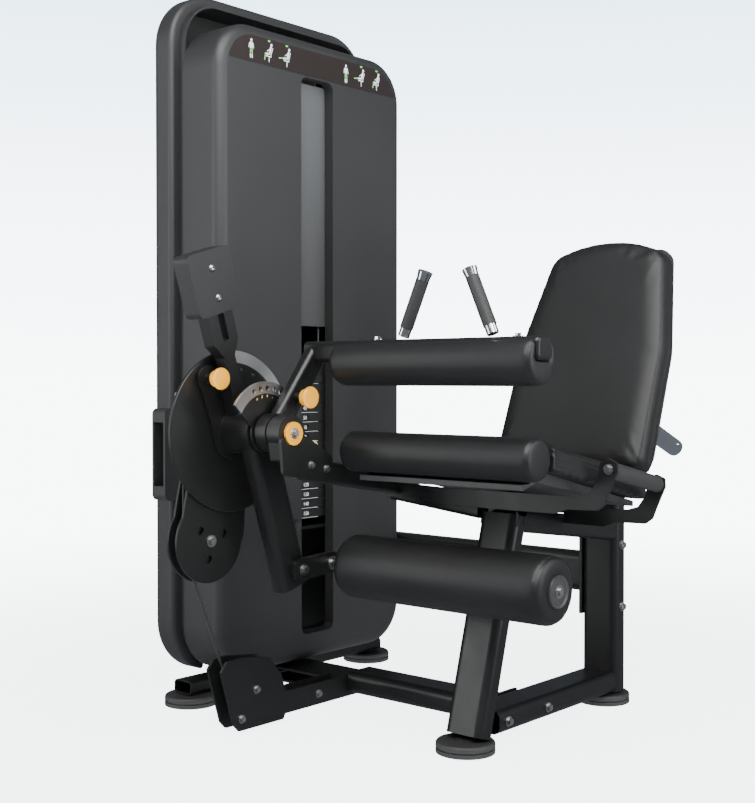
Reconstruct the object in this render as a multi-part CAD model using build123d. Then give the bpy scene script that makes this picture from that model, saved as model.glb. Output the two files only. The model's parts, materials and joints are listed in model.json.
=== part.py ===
from build123d import *
import math
import os

# Seated leg extension and leg curl machine with a selectorised weight tower.
# Millimetres. +X runs from the tower to the free side of the seat, +Y from the user's feet
# to the back rest, +Z up. The origin is on the floor under the middle of the machine.

# ---------------------------------------------------------------- driving dimensions
SEAT_X = 265.0  # middle plane of the seat and its frame
TUBE_WIDE = 95.0  # flat oval frame tube, wide side
TUBE_THIN = 50.0  # flat oval frame tube, thin side
TUBE_WALL = 3.0
PLATE = 6.0  # bracket plate thickness

TOWER_Y = -45.0  # middle plane of the weight tower
TOWER_BACK = -560.0
TOWER_SEAM = -472.0  # where the two moulded shells meet
TOWER_FACE = -345.0
REAR_SHELL = (690.0, 60.0, 1690.0, 130.0)  # width, bottom, top, corner radius
FRONT_SHELL = (650.0, 72.0, 1602.0, 108.0)
SHELL_WALL = 5.0
SLOT = (114.0, 137.0, 1508.0)  # width, bottom, top
STACK_X = -432.0  # middle of the weight stack
UPRIGHT_X = -460.0

PIVOT_Y = -493.0  # knee axis, along X
PIVOT_Z = 657.0
DISC_R = 172.0
DISC_X = -168.0  # cam disc front face
DISC_T = 8.0
CABLE_X = -192.0  # plane of the cable between cam and floor
CABLE_R = 3.0
SHAFT_R = 17.5

CARRIAGE_Y = -548.0  # guide pulley on the cam
CARRIAGE_Z = 427.0
CARRIAGE_R = 62.0  # radius of the cable's centre line on it
FLOOR_Y = -426.0  # pulley near the floor
FLOOR_Z = 92.0
FLOOR_R = 50.0
TURN_R = 42.0  # pulley with an upright axle that turns the cable to the tower
TOWER_PULLEY_R = 45.0
TOP_PULLEY_Z = 1485.0
PULLEY_T = 18.0

LEVER_LEAN = 17.0  # degrees from upright
LEVER_X = (-120.0, -76.0)
LEVER_DROP = 340.0
ROLLER_Y = -298.0
ROLLER_Z = 365.0
ROLLER_R = 71.0
ROLLER_LENGTH = 530.0

PAD_Y = -363.0  # thigh pad
PAD_Z = 803.0
PAD_R = 52.0
PAD_LENGTH = 510.0
BAR_Z = 825.0
ARM_X = (-60.0, -30.0)
SECTOR_X = -72.0
SLEEVE_R = 27.0  # fixed sleeve that the shaft turns in and the thigh arm turns on
PIN_RADIUS = 92.0  # radius of the thigh adjuster's holes
PIN_STEP = 12.0  # degrees between the thigh adjuster's holes
LEVER_PIN = (135.0, -34.0)  # radius and angle of the start position pin
LEVER_STEP = 15.0  # degrees between start positions
STARTS = 6  # holes in the row on the disc, and in the thigh adjuster's sector
BARREL = 16.0  # length of a pull pin's guide barrel
KNOB_R = 23.0
FIT = 0.05  # radial clearance of running fits

SEAT_SLOPE = 13.0
RAIL_SLOPE = 8.0
BACK_LEAN = 21.0
BOLSTER_Y = -333.0
BOLSTER_Z = 615.0
BOLSTER_R = 46.0
SEAT_WIDE = 484.0
SEAT_BACK_Y = 78.0  # back edge of the seat board
CUSHION_DROP = 56.3  # cushion thickness, measured upright
BOARD_THIN = 12.0
POST_Y = 305.0
FOOT_R = 62.0
FOOT_T = 24.0
GRIP_REACH = 276.0  # side grip from the middle plane
GRIP_FRONT = -146.0  # front face of the front cross plate
GRIP_REAR = 49.0  # front face of the rear cross plate
GRIP_DROP = 43.0  # the rear plate sits lower than the front one
SLIDE_R = 22.5

WEIGHT_PITCH = 24.0
STACK_BOTTOM = 420.0
LIFTED = 8
RESTING = 7
SLIDE_UP = 212.8  # where the slide meets the back rest, up its face
PIN_BACK = 164.0  # the slide's pin, behind the back rest's front face
SLIDE_STEP = 25.0  # between the holes of the slide


# ---------------------------------------------------------------- helpers
def from_pivot(radius, degrees):
    """A point at a radius from the knee axis; degrees from upright, positive towards +Y."""
    a = math.radians(degrees)
    return (PIVOT_Y + radius * math.sin(a), PIVOT_Z + radius * math.cos(a))


def bar(start, direction, radius, length):
    """A round bar from a point."""
    return extrude(Plane(origin=start, z_dir=direction) * Circle(radius), length)


def ring(start, direction, outer, inner, length):
    """A round tube from a point."""
    section = Circle(outer) - Circle(inner)
    return extrude(Plane(origin=start, z_dir=direction) * section, length)


def plate_yz(points, x_low, x_high, radius):
    """A plate with rounded corners that stands in the YZ plane."""
    outline = FilletPolyline(*points, radius=radius, close=True)
    face = make_face(Plane.YZ.offset(x_low) * outline)
    return extrude(face, x_high - x_low, dir=(1, 0, 0))


def plate_xz(points, y_low, y_high, radius):
    """A plate with rounded corners that stands in the XZ plane."""
    outline = FilletPolyline(*points, radius=radius, close=True)
    face = make_face(Plane.XZ.offset(-y_low) * outline)
    return extrude(face, y_high - y_low, dir=(0, 1, 0))


def oval(wide, thin, radius):
    return RectangleRounded(wide, thin, radius)


def tube_between(start, end, across, wide=TUBE_WIDE, thin=TUBE_THIN, corner=18.0):
    """A flat oval tube; across is the direction of its wide side."""
    way = Vector(*end) - Vector(*start)
    plane = Plane(origin=start, x_dir=across, z_dir=way)
    outer = oval(wide, thin, corner)
    inner = oval(wide - 2 * TUBE_WALL, thin - 2 * TUBE_WALL, corner - TUBE_WALL)
    return extrude(plane * (outer - inner), way.length)


def hex_bolt(place, direction, radius=7.5, height=7.0, washer=11.0):
    """A bolt head on its washer, standing out of a face."""
    base = bar(place, direction, washer, 2.0)
    top = Vector(*place) + Vector(*direction).normalized() * 2.0
    head = extrude(Plane(origin=top, z_dir=direction) * RegularPolygon(radius, 6), height)
    return base + head


def pulley(place, direction, groove_radius, bore):
    """A cable pulley, centred on a point, with a round groove for the cable."""
    rim = groove_radius + 7.0
    plane = Plane(origin=place, z_dir=direction)
    body = extrude(plane * Circle(rim), PULLEY_T / 2, both=True)
    groove = Torus(groove_radius + 1.5, CABLE_R + 2.0)
    body -= plane * groove
    mouth = Circle(rim + 1.0) - Circle(groove_radius + 1.5)
    body -= extrude(plane * mouth, CABLE_R + 2.0, both=True)
    web = Circle(groove_radius - 12.0) - Circle(bore + 9.0)
    for side in (-1, 1):
        body -= extrude(plane.offset(side * (PULLEY_T / 2 - 2.0)) * web, 3.0, both=True)
    return body - extrude(plane * Circle(bore), PULLEY_T, both=True)


def save(name, shape):
    """Writes one named sub-part."""
    if isinstance(shape, (list, tuple)):
        shape = Compound(children=list(shape))
    shape.label = name
    export_step(shape, "parts/" + name + ".step")


# ---------------------------------------------------------------- weight tower
def shell_outline(size, shrink, radius_change=0.0):
    """The tower's outline in the YZ plane."""
    wide, low, high, corner = size
    height = high - low - 2 * shrink
    outline = oval(wide - 2 * shrink, height, corner - shrink + radius_change)
    return Pos(TOWER_Y, (low + high) / 2) * outline


def base_opening(x_low, x_high):
    """The shells are open underneath, where the frame and the cable come in."""
    return Pos((x_low + x_high) / 2, TOWER_Y, 70.0) * Box(x_high - x_low, 500.0, 60.0)


def rear_shroud():
    """Moulded rear shell: a tray with a rounded back edge and a stepped front rim."""
    depth = -490.0 - TOWER_BACK
    outer = extrude(Plane.YZ.offset(TOWER_BACK) * shell_outline(REAR_SHELL, 0), depth)
    outer = fillet(outer.faces().sort_by(Axis.X)[0].edges(), 22.0)
    outer = fillet(outer.faces().sort_by(Axis.X)[-1].edges(), 12.0)
    rim = extrude(Plane.YZ.offset(-492.0) * shell_outline(REAR_SHELL, 26.0), 20.0)
    hollow = extrude(
        Plane.YZ.offset(TOWER_BACK + SHELL_WALL) * shell_outline(REAR_SHELL, 31.0), 120.0
    )
    return outer + rim - hollow - base_opening(TOWER_BACK + 8.0, TOWER_SEAM + 1.0)


def front_shroud():
    """Moulded front shell with the long slot for the weight pin."""
    back = TOWER_SEAM
    depth = TOWER_FACE - back
    outer = extrude(Plane.YZ.offset(back) * shell_outline(FRONT_SHELL, 0), depth)
    outer = fillet(outer.faces().sort_by(Axis.X)[-1].edges(), 26.0)
    hollow = extrude(
        Plane.YZ.offset(back - 1.0) * shell_outline(FRONT_SHELL, 12.0), depth - SHELL_WALL
    )
    shell = outer - hollow
    width, low, high = SLOT
    middle = Pos(TOWER_Y, (low + high) / 2)
    slot = middle * oval(width, high - low, 20.0)
    lip = middle * oval(width + 8.0, high - low + 8.0, 24.0)
    frame = extrude(Plane.YZ.offset(TOWER_FACE - 28.0) * (lip - slot), 24.0)
    cut = extrude(Plane.YZ.offset(TOWER_FACE - 40.0) * slot, 60.0)
    return shell + frame - cut - base_opening(TOWER_SEAM - 1.0, -385.0)


def placard():
    """Instruction label across the top of the front shell, with the shell's own corners."""
    thick = 1.0
    face = shell_outline(FRONT_SHELL, 28.0)
    band = Pos(TOWER_Y, 1508.0 + 52.0) * Rectangle(700.0, 96.0)
    label = face & band
    return extrude(Plane.YZ.offset(TOWER_FACE) * label, thick)


def slot_window():
    """Tinted window behind the upper part of the slot."""
    middle = Pos(TOWER_Y, (900.0 + 1500.0) / 2)
    panel = extrude(Plane.YZ.offset(TOWER_FACE - 33.0) * (middle * oval(130.0, 600.0, 10.0)), 4.0)
    return panel


def tower_frame():
    """Welded frame inside the shells: base tube between the feet, two uprights and a top tube."""
    foot_y = 314.0
    level = 43.0
    upright_y = 205.0
    top_level = 1565.0
    base = tube_between(
        (UPRIGHT_X, TOWER_Y - foot_y - 26, level),
        (UPRIGHT_X, TOWER_Y + foot_y + 26, level), (1, 0, 0), 60.0, 32.0, 10.0)
    pulley_gap = Pos(UPRIGHT_X, TOWER_Y, level) * Box(80.0, 36.0, 60.0)
    frame = base - pulley_gap
    frame += tube_between(
        (UPRIGHT_X, TOWER_Y - upright_y - 25, top_level),
        (UPRIGHT_X, TOWER_Y + upright_y + 25, top_level), (1, 0, 0), 60.0, 40.0, 10.0)
    for side in (-1, 1):
        y = TOWER_Y + side * upright_y
        frame += tube_between((UPRIGHT_X, y, level + 12), (UPRIGHT_X, y, top_level - 16),
                              (1, 0, 0), 60.0, 40.0, 10.0)
    return frame


def stack_shelf():
    """Shelf that the weight stack rests on, with holes for the guide rods and the cable."""
    shelf = Pos(STACK_X + 2, TOWER_Y, 396.0) * Box(112.0, 368.0, 8.0)
    for side in (-1, 1):
        place = (STACK_X, TOWER_Y + side * 95.0, 380.0)
        shelf -= bar(place, (0, 0, 1), 10.02, 40.0)
    return shelf - bar((STACK_X, TOWER_Y, 380.0), (0, 0, 1), 14.0, 40.0)


def guide_rods():
    """Two chrome rods that the stack slides on."""
    low = 392.0
    high = 1544.0
    return [bar((STACK_X, TOWER_Y + side * 95.0, low), (0, 0, 1), 10.0, high - low)
            for side in (-1, 1)]


def weight_plate(bottom):
    """One plate: guide bores, a bore for the selector rod and a hole for the pin."""
    body = Pos(STACK_X, TOWER_Y, bottom + 11.75) * Box(104.0, 300.0, 23.5)
    body = fillet(body.edges().filter_by(Axis.Z), 8.0)
    body = chamfer(body.faces().sort_by(Axis.Z)[-1].edges(), 1.2)
    for side in (-1, 1):
        place = (STACK_X, TOWER_Y + side * 95.0, bottom - 1)
        body -= bar(place, (0, 0, 1), 12.0, 30.0)
    body -= bar((STACK_X, TOWER_Y, bottom - 1), (0, 0, 1), 13.0, 30.0)
    return body - bar((STACK_X, TOWER_Y, bottom + 11.75), (1, 0, 0), 5.3, 80.0)


def resting_plates():
    return [weight_plate(STACK_BOTTOM + i * WEIGHT_PITCH) for i in range(RESTING)]


def lifted_plates():
    first = STACK_BOTTOM + RESTING * WEIGHT_PITCH
    return [weight_plate(first + i * WEIGHT_PITCH) for i in range(LIFTED)]


def stack_top():
    return STACK_BOTTOM + (RESTING + LIFTED) * WEIGHT_PITCH


def head_plate():
    """Top plate of the stack, with bushes for the guide rods and the cable's eye block."""
    low = stack_top()
    body = Pos(STACK_X, TOWER_Y, low + 14.0) * Box(104.0, 300.0, 28.0)
    body = fillet(body.edges().filter_by(Axis.Z), 8.0)
    for side in (-1, 1):
        place = (STACK_X, TOWER_Y + side * 95.0, low + 28.0)
        body += ring(place, (0, 0, 1), 18.0, 10.06, 14.0)
        body -= bar((place[0], place[1], low - 1), (0, 0, 1), 10.06, 60.0)
    body -= bar((STACK_X, TOWER_Y, low - 1), (0, 0, 1), 11.0, 60.0)
    return body


def selector_rod():
    """Rod that hangs from the head plate, drilled across for the pin at every plate."""
    low = STACK_BOTTOM + 2.0
    high = stack_top() + 62.0
    rod = bar((STACK_X, TOWER_Y, low), (0, 0, 1), 10.98, high - low)
    rod += bar((STACK_X, TOWER_Y, stack_top() + 28.0), (0, 0, 1), 17.0, 24.0)
    for i in range(RESTING + LIFTED):
        level = STACK_BOTTOM + i * WEIGHT_PITCH + 11.75
        rod -= bar((STACK_X, TOWER_Y, level), (1, 0, 0), 5.3, 20.0)
    return rod - bar((STACK_X, TOWER_Y, high - 16.0), (0, 0, 1), CABLE_R + 0.3, 20.0)


def pin_level():
    return STACK_BOTTOM + RESTING * WEIGHT_PITCH + 11.75


def selector_pin():
    """Weight pin with a round knob in front of the stack."""
    front = STACK_X + 52.0
    pin = bar((STACK_X + 1.0, TOWER_Y, pin_level()), (1, 0, 0), 5.0, 62.0)
    collar = bar((front + 1.0, TOWER_Y, pin_level()), (1, 0, 0), 9.0, 10.0)
    knob = bar((front + 10.0, TOWER_Y, pin_level()), (1, 0, 0), 15.0, 16.0)
    knob = fillet(knob.edges(), 4.0)
    return pin + collar + knob


def stack_cushions():
    """Rubber rings that the stack lands on."""
    parts = []
    for side in (-1, 1):
        place = (STACK_X, TOWER_Y + side * 95.0, 400.0)
        parts.append(ring(place, (0, 0, 1), 20.0, 10.4, STACK_BOTTOM - 400.2))
    return parts


# ---------------------------------------------------------------- cable drive
def cable_run_x():
    """X of the upright cable run behind the stack."""
    return STACK_X - 2 * TOWER_PULLEY_R


def floor_exit_z():
    return FLOOR_Z - FLOOR_R


def turn_centre():
    return (CABLE_X - TURN_R, TOWER_Y - TURN_R, floor_exit_z())


def base_pulley_centre():
    return (cable_run_x() + TOWER_PULLEY_R, TOWER_Y, floor_exit_z() + TOWER_PULLEY_R)


def top_pulley_centre():
    return (cable_run_x() + TOWER_PULLEY_R, TOWER_Y, TOP_PULLEY_Z)


def carriage_pulley():
    return pulley((CABLE_X, CARRIAGE_Y, CARRIAGE_Z), (1, 0, 0), CARRIAGE_R, 8.05)


def floor_pulley():
    return pulley((CABLE_X, FLOOR_Y, FLOOR_Z), (1, 0, 0), FLOOR_R, 8.05)


def turning_pulley():
    return pulley(turn_centre(), (0, 0, 1), TURN_R, 8.05)


def base_pulley():
    return pulley(base_pulley_centre(), (0, 1, 0), TOWER_PULLEY_R, 8.05)


def top_pulley():
    return pulley(top_pulley_centre(), (0, 1, 0), TOWER_PULLEY_R, 8.05)


def pulley_axles():
    """Fixed axles of the four frame pulleys."""
    axles = [bar((CABLE_X - 28.0, FLOOR_Y, FLOOR_Z), (1, 0, 0), 8.0, 52.0)]
    x, y, z = turn_centre()
    axles.append(bar((x, y, z - 18.0), (0, 0, 1), 8.0, 36.0))
    for x, y, z in (base_pulley_centre(), top_pulley_centre()):
        axles.append(bar((x, y - 14.0, z), (0, 1, 0), 8.0, 28.0))
    return axles


def pulley_mounts():
    """Axles and cheek plates of the frame pulleys, and the shelf under the stack."""
    return pulley_axles() + pulley_brackets() + [stack_shelf()]


def pulley_brackets():
    """Cheek plates of the two pulleys inside the tower."""
    parts = []
    x, y, z = base_pulley_centre()
    for side in (-1, 1):
        cheek = Pos(UPRIGHT_X, y + side * 16.0, 72.0) * Box(60.0, 4.0, 90.0)
        parts.append(cheek - bar((x, y - 20.0, z), (0, 1, 0), 8.0, 40.0))
    x, y, z = top_pulley_centre()
    for side in (-1, 1):
        cheek = Pos(x, y + side * 12.0, z + 20.0) * Box(36.0, 4.0, 80.0)
        parts.append(cheek - bar((x, y - 20.0, z), (0, 1, 0), 8.0, 40.0))
    return parts


def floor_bracket():
    """Two cheek plates: pulley guard at the front, arm back to the cross tube."""
    parts = []
    for low, back in ((CABLE_X - 24.0, -142.0), (CABLE_X + 18.0, -37.0)):
        points = [
            (-528.0, 146.0), (-512.0, 166.0), (-470.0, 168.0), (-386.0, 156.0),
            (-348.0, 112.0), (-336.0, 71.0), (back, 71.0), (back, 21.0), (-336.0, 21.0),
            (-342.0, 10.0), (-476.0, 10.0), (-492.0, 26.0),
        ]
        cheek = plate_yz(points, low, low + PLATE, 3.0)
        cheek -= bar((low - 1.0, FLOOR_Y, FLOOR_Z), (1, 0, 0), 8.0, PLATE + 2.0)
        parts.append(cheek)
    return parts + junction_box()


def junction_box():
    """Welded box behind the floor bracket: holds the turning pulley and ties the tower's base."""
    x, y, z = turn_centre()
    low = UPRIGHT_X + 30.0
    high = CABLE_X + 18.0
    parts = []
    for level in (z - 18.0, z + 12.0):
        sheet = Pos((low + high) / 2, y + 2.0, level + 3.0) * Box(high - low, 108.0, PLATE)
        sheet -= bar((x, y, level - 1.0), (0, 0, 1), 8.0, PLATE + 2.0)
        parts.append(sheet)
    return parts


def floor_line():
    """Tangent points of the cable on the carriage and floor pulleys, on their front sides."""
    dy = FLOOR_Y - CARRIAGE_Y
    dz = FLOOR_Z - CARRIAGE_Z
    reach = math.hypot(dy, dz)
    along = math.atan2(dz, dy)
    swing = math.asin((CARRIAGE_R - FLOOR_R) / reach)
    way = along + swing
    side_y = math.sin(way)
    side_z = -math.cos(way)
    upper = (CARRIAGE_Y + CARRIAGE_R * side_y, CARRIAGE_Z + CARRIAGE_R * side_z)
    lower = (FLOOR_Y + FLOOR_R * side_y, FLOOR_Z + FLOOR_R * side_z)
    return upper, lower


def cable_tube(path):
    start = path @ 0
    plane = Plane(origin=start, z_dir=path % 0)
    return sweep(plane * Circle(CABLE_R), path=path)


def arc_yz(x, centre, start_angle, sweep_angle, radius):
    """An arc in the YZ plane at X; angles in degrees from +Y towards +Z."""
    plane = Plane(origin=(x, centre[0], centre[1]), x_dir=(0, 1, 0), z_dir=(1, 0, 0))
    return plane * CenterArc((0, 0), radius, start_angle, sweep_angle)


def tangent_angle():
    """Direction from either pulley's centre to its tangent point on the floor line."""
    upper, _ = floor_line()
    return math.degrees(math.atan2(upper[1] - CARRIAGE_Z, upper[0] - CARRIAGE_Y)) % 360.0


def lower_cable():
    """Cable from its anchor on the cam, over the carriage pulley, down to the floor pulley."""
    upper, lower = floor_line()
    front = CARRIAGE_Y - CARRIAGE_R
    anchor = Line((CABLE_X, front, 716.0), (CABLE_X, front, CARRIAGE_Z))
    turn = arc_yz(CABLE_X, (CARRIAGE_Y, CARRIAGE_Z), 180.0, tangent_angle() - 180.0, CARRIAGE_R)
    drop = Line((CABLE_X, upper[0], upper[1]), (CABLE_X, lower[0], lower[1]))
    return cable_tube(Wire([anchor, turn, drop]))


def drive_cable():
    """Cable from the floor pulley, round the turning pulley, up the tower and over the top."""
    begin = tangent_angle()
    z = floor_exit_z()
    wrap = arc_yz(CABLE_X, (FLOOR_Y, FLOOR_Z), begin, 270.0 - begin, FLOOR_R)
    x_turn, y_turn, _ = turn_centre()
    back = Line((CABLE_X, FLOOR_Y, z), (CABLE_X, y_turn, z))
    flat = Plane(origin=(x_turn, y_turn, z)) * CenterArc((0, 0), TURN_R, 0.0, 90.0)
    x_base = base_pulley_centre()[0]
    across = Line((x_turn, TOWER_Y, z), (x_base, TOWER_Y, z))
    upright = Plane(origin=(x_base, TOWER_Y, z + TOWER_PULLEY_R), x_dir=(1, 0, 0), z_dir=(0, -1, 0))
    bottom = upright * CenterArc((0, 0), TOWER_PULLEY_R, 270.0, -90.0)
    x_run = cable_run_x()
    rise = Line((x_run, TOWER_Y, z + TOWER_PULLEY_R), (x_run, TOWER_Y, TOP_PULLEY_Z))
    high = Plane(origin=(x_base, TOWER_Y, TOP_PULLEY_Z), x_dir=(1, 0, 0), z_dir=(0, -1, 0))
    over = high * CenterArc((0, 0), TOWER_PULLEY_R, 180.0, -180.0)
    return cable_tube(Wire([wrap, back, flat, across, bottom, rise, over]))


def stack_cable():
    """Upright cable from the top pulley to the selector rod."""
    low = stack_top() + 46.0
    return bar((STACK_X, TOWER_Y, low), (0, 0, 1), CABLE_R, TOP_PULLEY_Z - low)


# ---------------------------------------------------------------- cam and shaft
def lobe_outline(x_low, x_high):
    """Plate round the carriage pulley, tapering up to the shaft."""
    lobe = bar((x_low, CARRIAGE_Y - 4.0, CARRIAGE_Z + 2.0), (1, 0, 0), 90.0, x_high - x_low)
    web = plate_yz(
        [(-634.0, 440.0), (-590.0, 640.0), (-440.0, 640.0), (-456.0, 420.0)],
        x_low, x_high, 8.0)
    hub = bar((x_low, PIVOT_Y, PIVOT_Z), (1, 0, 0), 60.0, x_high - x_low)
    return lobe + web + hub


def cam():
    """Disc with the row of start position holes, welded to the carriage pulley's plates."""
    disc = bar((DISC_X - DISC_T, PIVOT_Y, PIVOT_Z), (1, 0, 0), DISC_R, DISC_T)
    disc = chamfer(disc.edges().filter_by(GeomType.CIRCLE), 1.2)
    disc -= bar((DISC_X - 20.0, PIVOT_Y, PIVOT_Z), (1, 0, 0), SHAFT_R, 40.0)
    radius, first = LEVER_PIN
    for i in range(STARTS):
        y, z = from_pivot(radius, first + i * LEVER_STEP)
        disc -= bar((DISC_X - 20.0, y, z), (1, 0, 0), 5.1, 40.0)
    return [disc] + carriage_plates()


def carriage_plates():
    """Front and rear plates that hold the carriage pulley under the disc."""
    parts = []
    for low in (DISC_X - DISC_T - PLATE, CABLE_X - 16.0):
        body = lobe_outline(low, low + PLATE)
        body -= bar((low - 1.0, PIVOT_Y, PIVOT_Z), (1, 0, 0), SHAFT_R, 10.0)
        body -= bar((low - 1.0, CARRIAGE_Y, CARRIAGE_Z), (1, 0, 0), 8.0, 10.0)
        for degrees in (20.0, 140.0, 260.0):
            a = math.radians(degrees)
            y = CARRIAGE_Y + 38.0 * math.cos(a)
            z = CARRIAGE_Z + 38.0 * math.sin(a)
            body -= bar((low - 1.0, y, z), (1, 0, 0), 9.0, 10.0)
        parts.append(body)
    return parts


def carriage_axle():
    """Bolt through the carriage pulley, with its head and nut."""
    low = CABLE_X - 16.0
    high = DISC_X - DISC_T
    axle = bar((low - 8.0, CARRIAGE_Y, CARRIAGE_Z), (1, 0, 0), 8.0, high - low + 8.0)
    axle += hex_bolt((high, CARRIAGE_Y, CARRIAGE_Z), (1, 0, 0), 9.0, 5.0, 13.0)
    return axle + bar((low - 8.0, CARRIAGE_Y, CARRIAGE_Z), (1, 0, 0), 12.0, 8.0)


def cam_fasteners():
    """Axle bolt of the carriage pulley and the clamp block of the cable."""
    return [carriage_axle(), cable_anchor()]


def cable_anchor():
    """Block that clamps the cable's end to the back of the disc."""
    y = CARRIAGE_Y - CARRIAGE_R
    block = Pos(CABLE_X + 1.0, y, 724.0) * Box(30.0, 22.0, 34.0)
    block = fillet(block.edges().filter_by(Axis.X), 5.0)
    return block - bar((CABLE_X, y, 700.0), (0, 0, 1), CABLE_R + 0.2, 18.0)


def main_shaft():
    """Shaft that the cam is keyed to."""
    return bar((CABLE_X - 22.0, PIVOT_Y, PIVOT_Z), (1, 0, 0), SHAFT_R, 9.0 - (CABLE_X - 22.0))


def shaft_sleeve():
    """Fixed bearing sleeve between the lever and the frame bracket."""
    return ring((-74.0, PIVOT_Y, PIVOT_Z), (1, 0, 0), SLEEVE_R, SHAFT_R + FIT, 82.0)


def pivot_cap():
    """Round coloured cap that marks the knee axis."""
    cap = bar((9.0, PIVOT_Y, PIVOT_Z), (1, 0, 0), 24.0, 8.0)
    cap = fillet(cap.edges().sort_by(Axis.X)[-1], 2.0)
    return cap + hex_bolt((17.0, PIVOT_Y, PIVOT_Z), (1, 0, 0), 7.0, 4.0, 9.5)


# ---------------------------------------------------------------- lever
def lever_arm():
    """Long arm that carries the shin roller, with its hub."""
    low, high = LEVER_X
    middle = (low + high) / 2
    y, z = from_pivot(LEVER_DROP + 10.0, 180.0 - LEVER_LEAN)
    arm = tube_between((middle, PIVOT_Y, PIVOT_Z), (middle, y, z), (1, 0, 0), high - low, 80.0, 16.0)
    hub = bar((low - 46.0, PIVOT_Y, PIVOT_Z), (1, 0, 0), 46.0, high - low + 46.0)
    body = arm + hub + lever_stalk() + lever_plate()
    body += pin_barrel(DISC_X + 9.5, lever_pin_centre(), BARREL)
    return body - bar((low - 50.0, PIVOT_Y, PIVOT_Z), (1, 0, 0), SHAFT_R + FIT, 120.0)


def along(degrees, radius, across):
    """A YZ point at a radius from the knee axis, shifted sideways from that direction."""
    a = math.radians(degrees)
    y, z = from_pivot(radius, degrees)
    return (y + across * math.cos(a), z - across * math.sin(a))


def lever_plate():
    """Plate against the disc that carries the start position pin."""
    low = DISC_X + 1.5
    radius, degrees = LEVER_PIN
    y, z = from_pivot(radius, degrees)
    body = bar((low, PIVOT_Y, PIVOT_Z), (1, 0, 0), 62.0, 8.0)
    corners = [along(degrees, 0.0, -58.0), along(degrees, radius, -26.0),
               along(degrees, radius, 26.0), along(degrees, 0.0, 58.0)]
    body += plate_yz(corners, low, low + 8.0, 2.0)
    body += bar((low, y, z), (1, 0, 0), 28.0, 8.0)
    return body - bar((low - 1.0, y, z), (1, 0, 0), 5.0 + FIT, 20.0)


def pin_barrel(x_low, centre, length):
    """Guide barrel of a spring pin."""
    return ring((x_low, centre[0], centre[1]), (1, 0, 0), 11.0, 5.0 + FIT, length)


def pull_pin(tip_x, knob_x, centre):
    """Pin with a round pull knob."""
    y, z = centre
    pin = bar((tip_x, y, z), (1, 0, 0), 5.0, knob_x - tip_x)
    knob = bar((knob_x, y, z), (1, 0, 0), KNOB_R, 9.0)
    knob = fillet(knob.edges().sort_by(Axis.X)[-1], 3.0)
    neck = bar((knob_x - 0.2, y, z), (1, 0, 0), 13.0, 1.0)
    return pin + knob + neck


def lever_pin_centre():
    return from_pivot(*LEVER_PIN)


def thigh_pin_centre():
    return from_pivot(PIN_RADIUS, thigh_angle())


def thigh_angle():
    """Direction of the thigh arm from the knee axis, in degrees from upright."""
    return math.degrees(math.atan2(PAD_Y - PIVOT_Y, BAR_Z - PIVOT_Z))


def lever_knob():
    """Pull knob and pin that lock the lever to the disc, parked just out of its hole."""
    return pull_pin(DISC_X + 0.5, DISC_X + 9.5 + BARREL + 8.5, lever_pin_centre())


def thigh_knob():
    """Pull knob and pin that lock the thigh arm to the fixed sector, parked out of its hole."""
    return pull_pin(SECTOR_X + PLATE + 0.5, ARM_X[1] + BARREL + 8.0, thigh_pin_centre())


def lever_stalk():
    """Forked bar from the hub up to the counterweight."""
    lean = -LEVER_LEAN
    corners = [along(lean, 30.0, -20.0), along(lean, 165.0, -14.0), along(lean, 196.0, -34.0),
               along(lean, 268.0, -34.0), along(lean, 268.0, 34.0), along(lean, 196.0, 34.0),
               along(lean, 165.0, 14.0), along(lean, 30.0, 20.0)]
    body = plate_yz(corners, -156.0, -124.0, 4.0)
    gap = [along(lean, 200.0, -9.0), along(lean, 262.0, -9.0),
           along(lean, 262.0, 9.0), along(lean, 200.0, 9.0)]
    return body - plate_yz(gap, -160.0, -120.0, 3.0)


def counterweight():
    """Two thick slabs bolted to the forked bar."""
    lean = -LEVER_LEAN
    corners = [along(lean, 258.0, -60.0), along(lean, 390.0, -60.0),
               along(lean, 390.0, 60.0), along(lean, 258.0, 60.0)]
    slab = plate_yz(corners, -162.0, -118.0, 14.0)
    inner = [along(lean, 250.0, -35.0), along(lean, 268.5, -35.0),
             along(lean, 268.5, 35.0), along(lean, 250.0, 35.0)]
    slab -= plate_yz(inner, -157.0, -123.0, 2.0)
    return slab


def lever_bumpers():
    """Rubber stops on the lever."""
    y, z = along(180.0 - LEVER_LEAN, 255.0, 0.0)
    side = ring((LEVER_X[0] - 14.0, y, z), (1, 0, 0), 12.0, 3.0, 14.0)
    back = along(180.0 - LEVER_LEAN, 232.0, -40.0)
    way = Vector(0, *along(180.0 - LEVER_LEAN, 0.0, -1.0)) - Vector(0, PIVOT_Y, PIVOT_Z)
    stop = bar((LEVER_X[1] - 22.0, back[0], back[1]), way, 13.0, 16.0)
    return [side, stop]


def shin_link():
    """Clamp link at the foot of the lever that holds the roller's axle."""
    low = LEVER_X[1]
    bolt_y, bolt_z = -386.0, 359.0
    link = plate_yz(
        [(bolt_y - 30.0, bolt_z + 22.0), (ROLLER_Y + 22.0, ROLLER_Z + 24.0),
         (ROLLER_Y + 24.0, ROLLER_Z - 20.0), (bolt_y - 26.0, bolt_z - 24.0)],
        low, low + 14.0, 15.0)
    link -= bar((low - 1.0, ROLLER_Y, ROLLER_Z), (1, 0, 0), 10.0, 20.0)
    return link + hex_bolt((low + 14.0, bolt_y, bolt_z), (1, 0, 0), 8.5, 7.0, 12.5)


def roller_ends():
    middle = SEAT_X - 7.0
    return middle - ROLLER_LENGTH / 2, middle + ROLLER_LENGTH / 2


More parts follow.
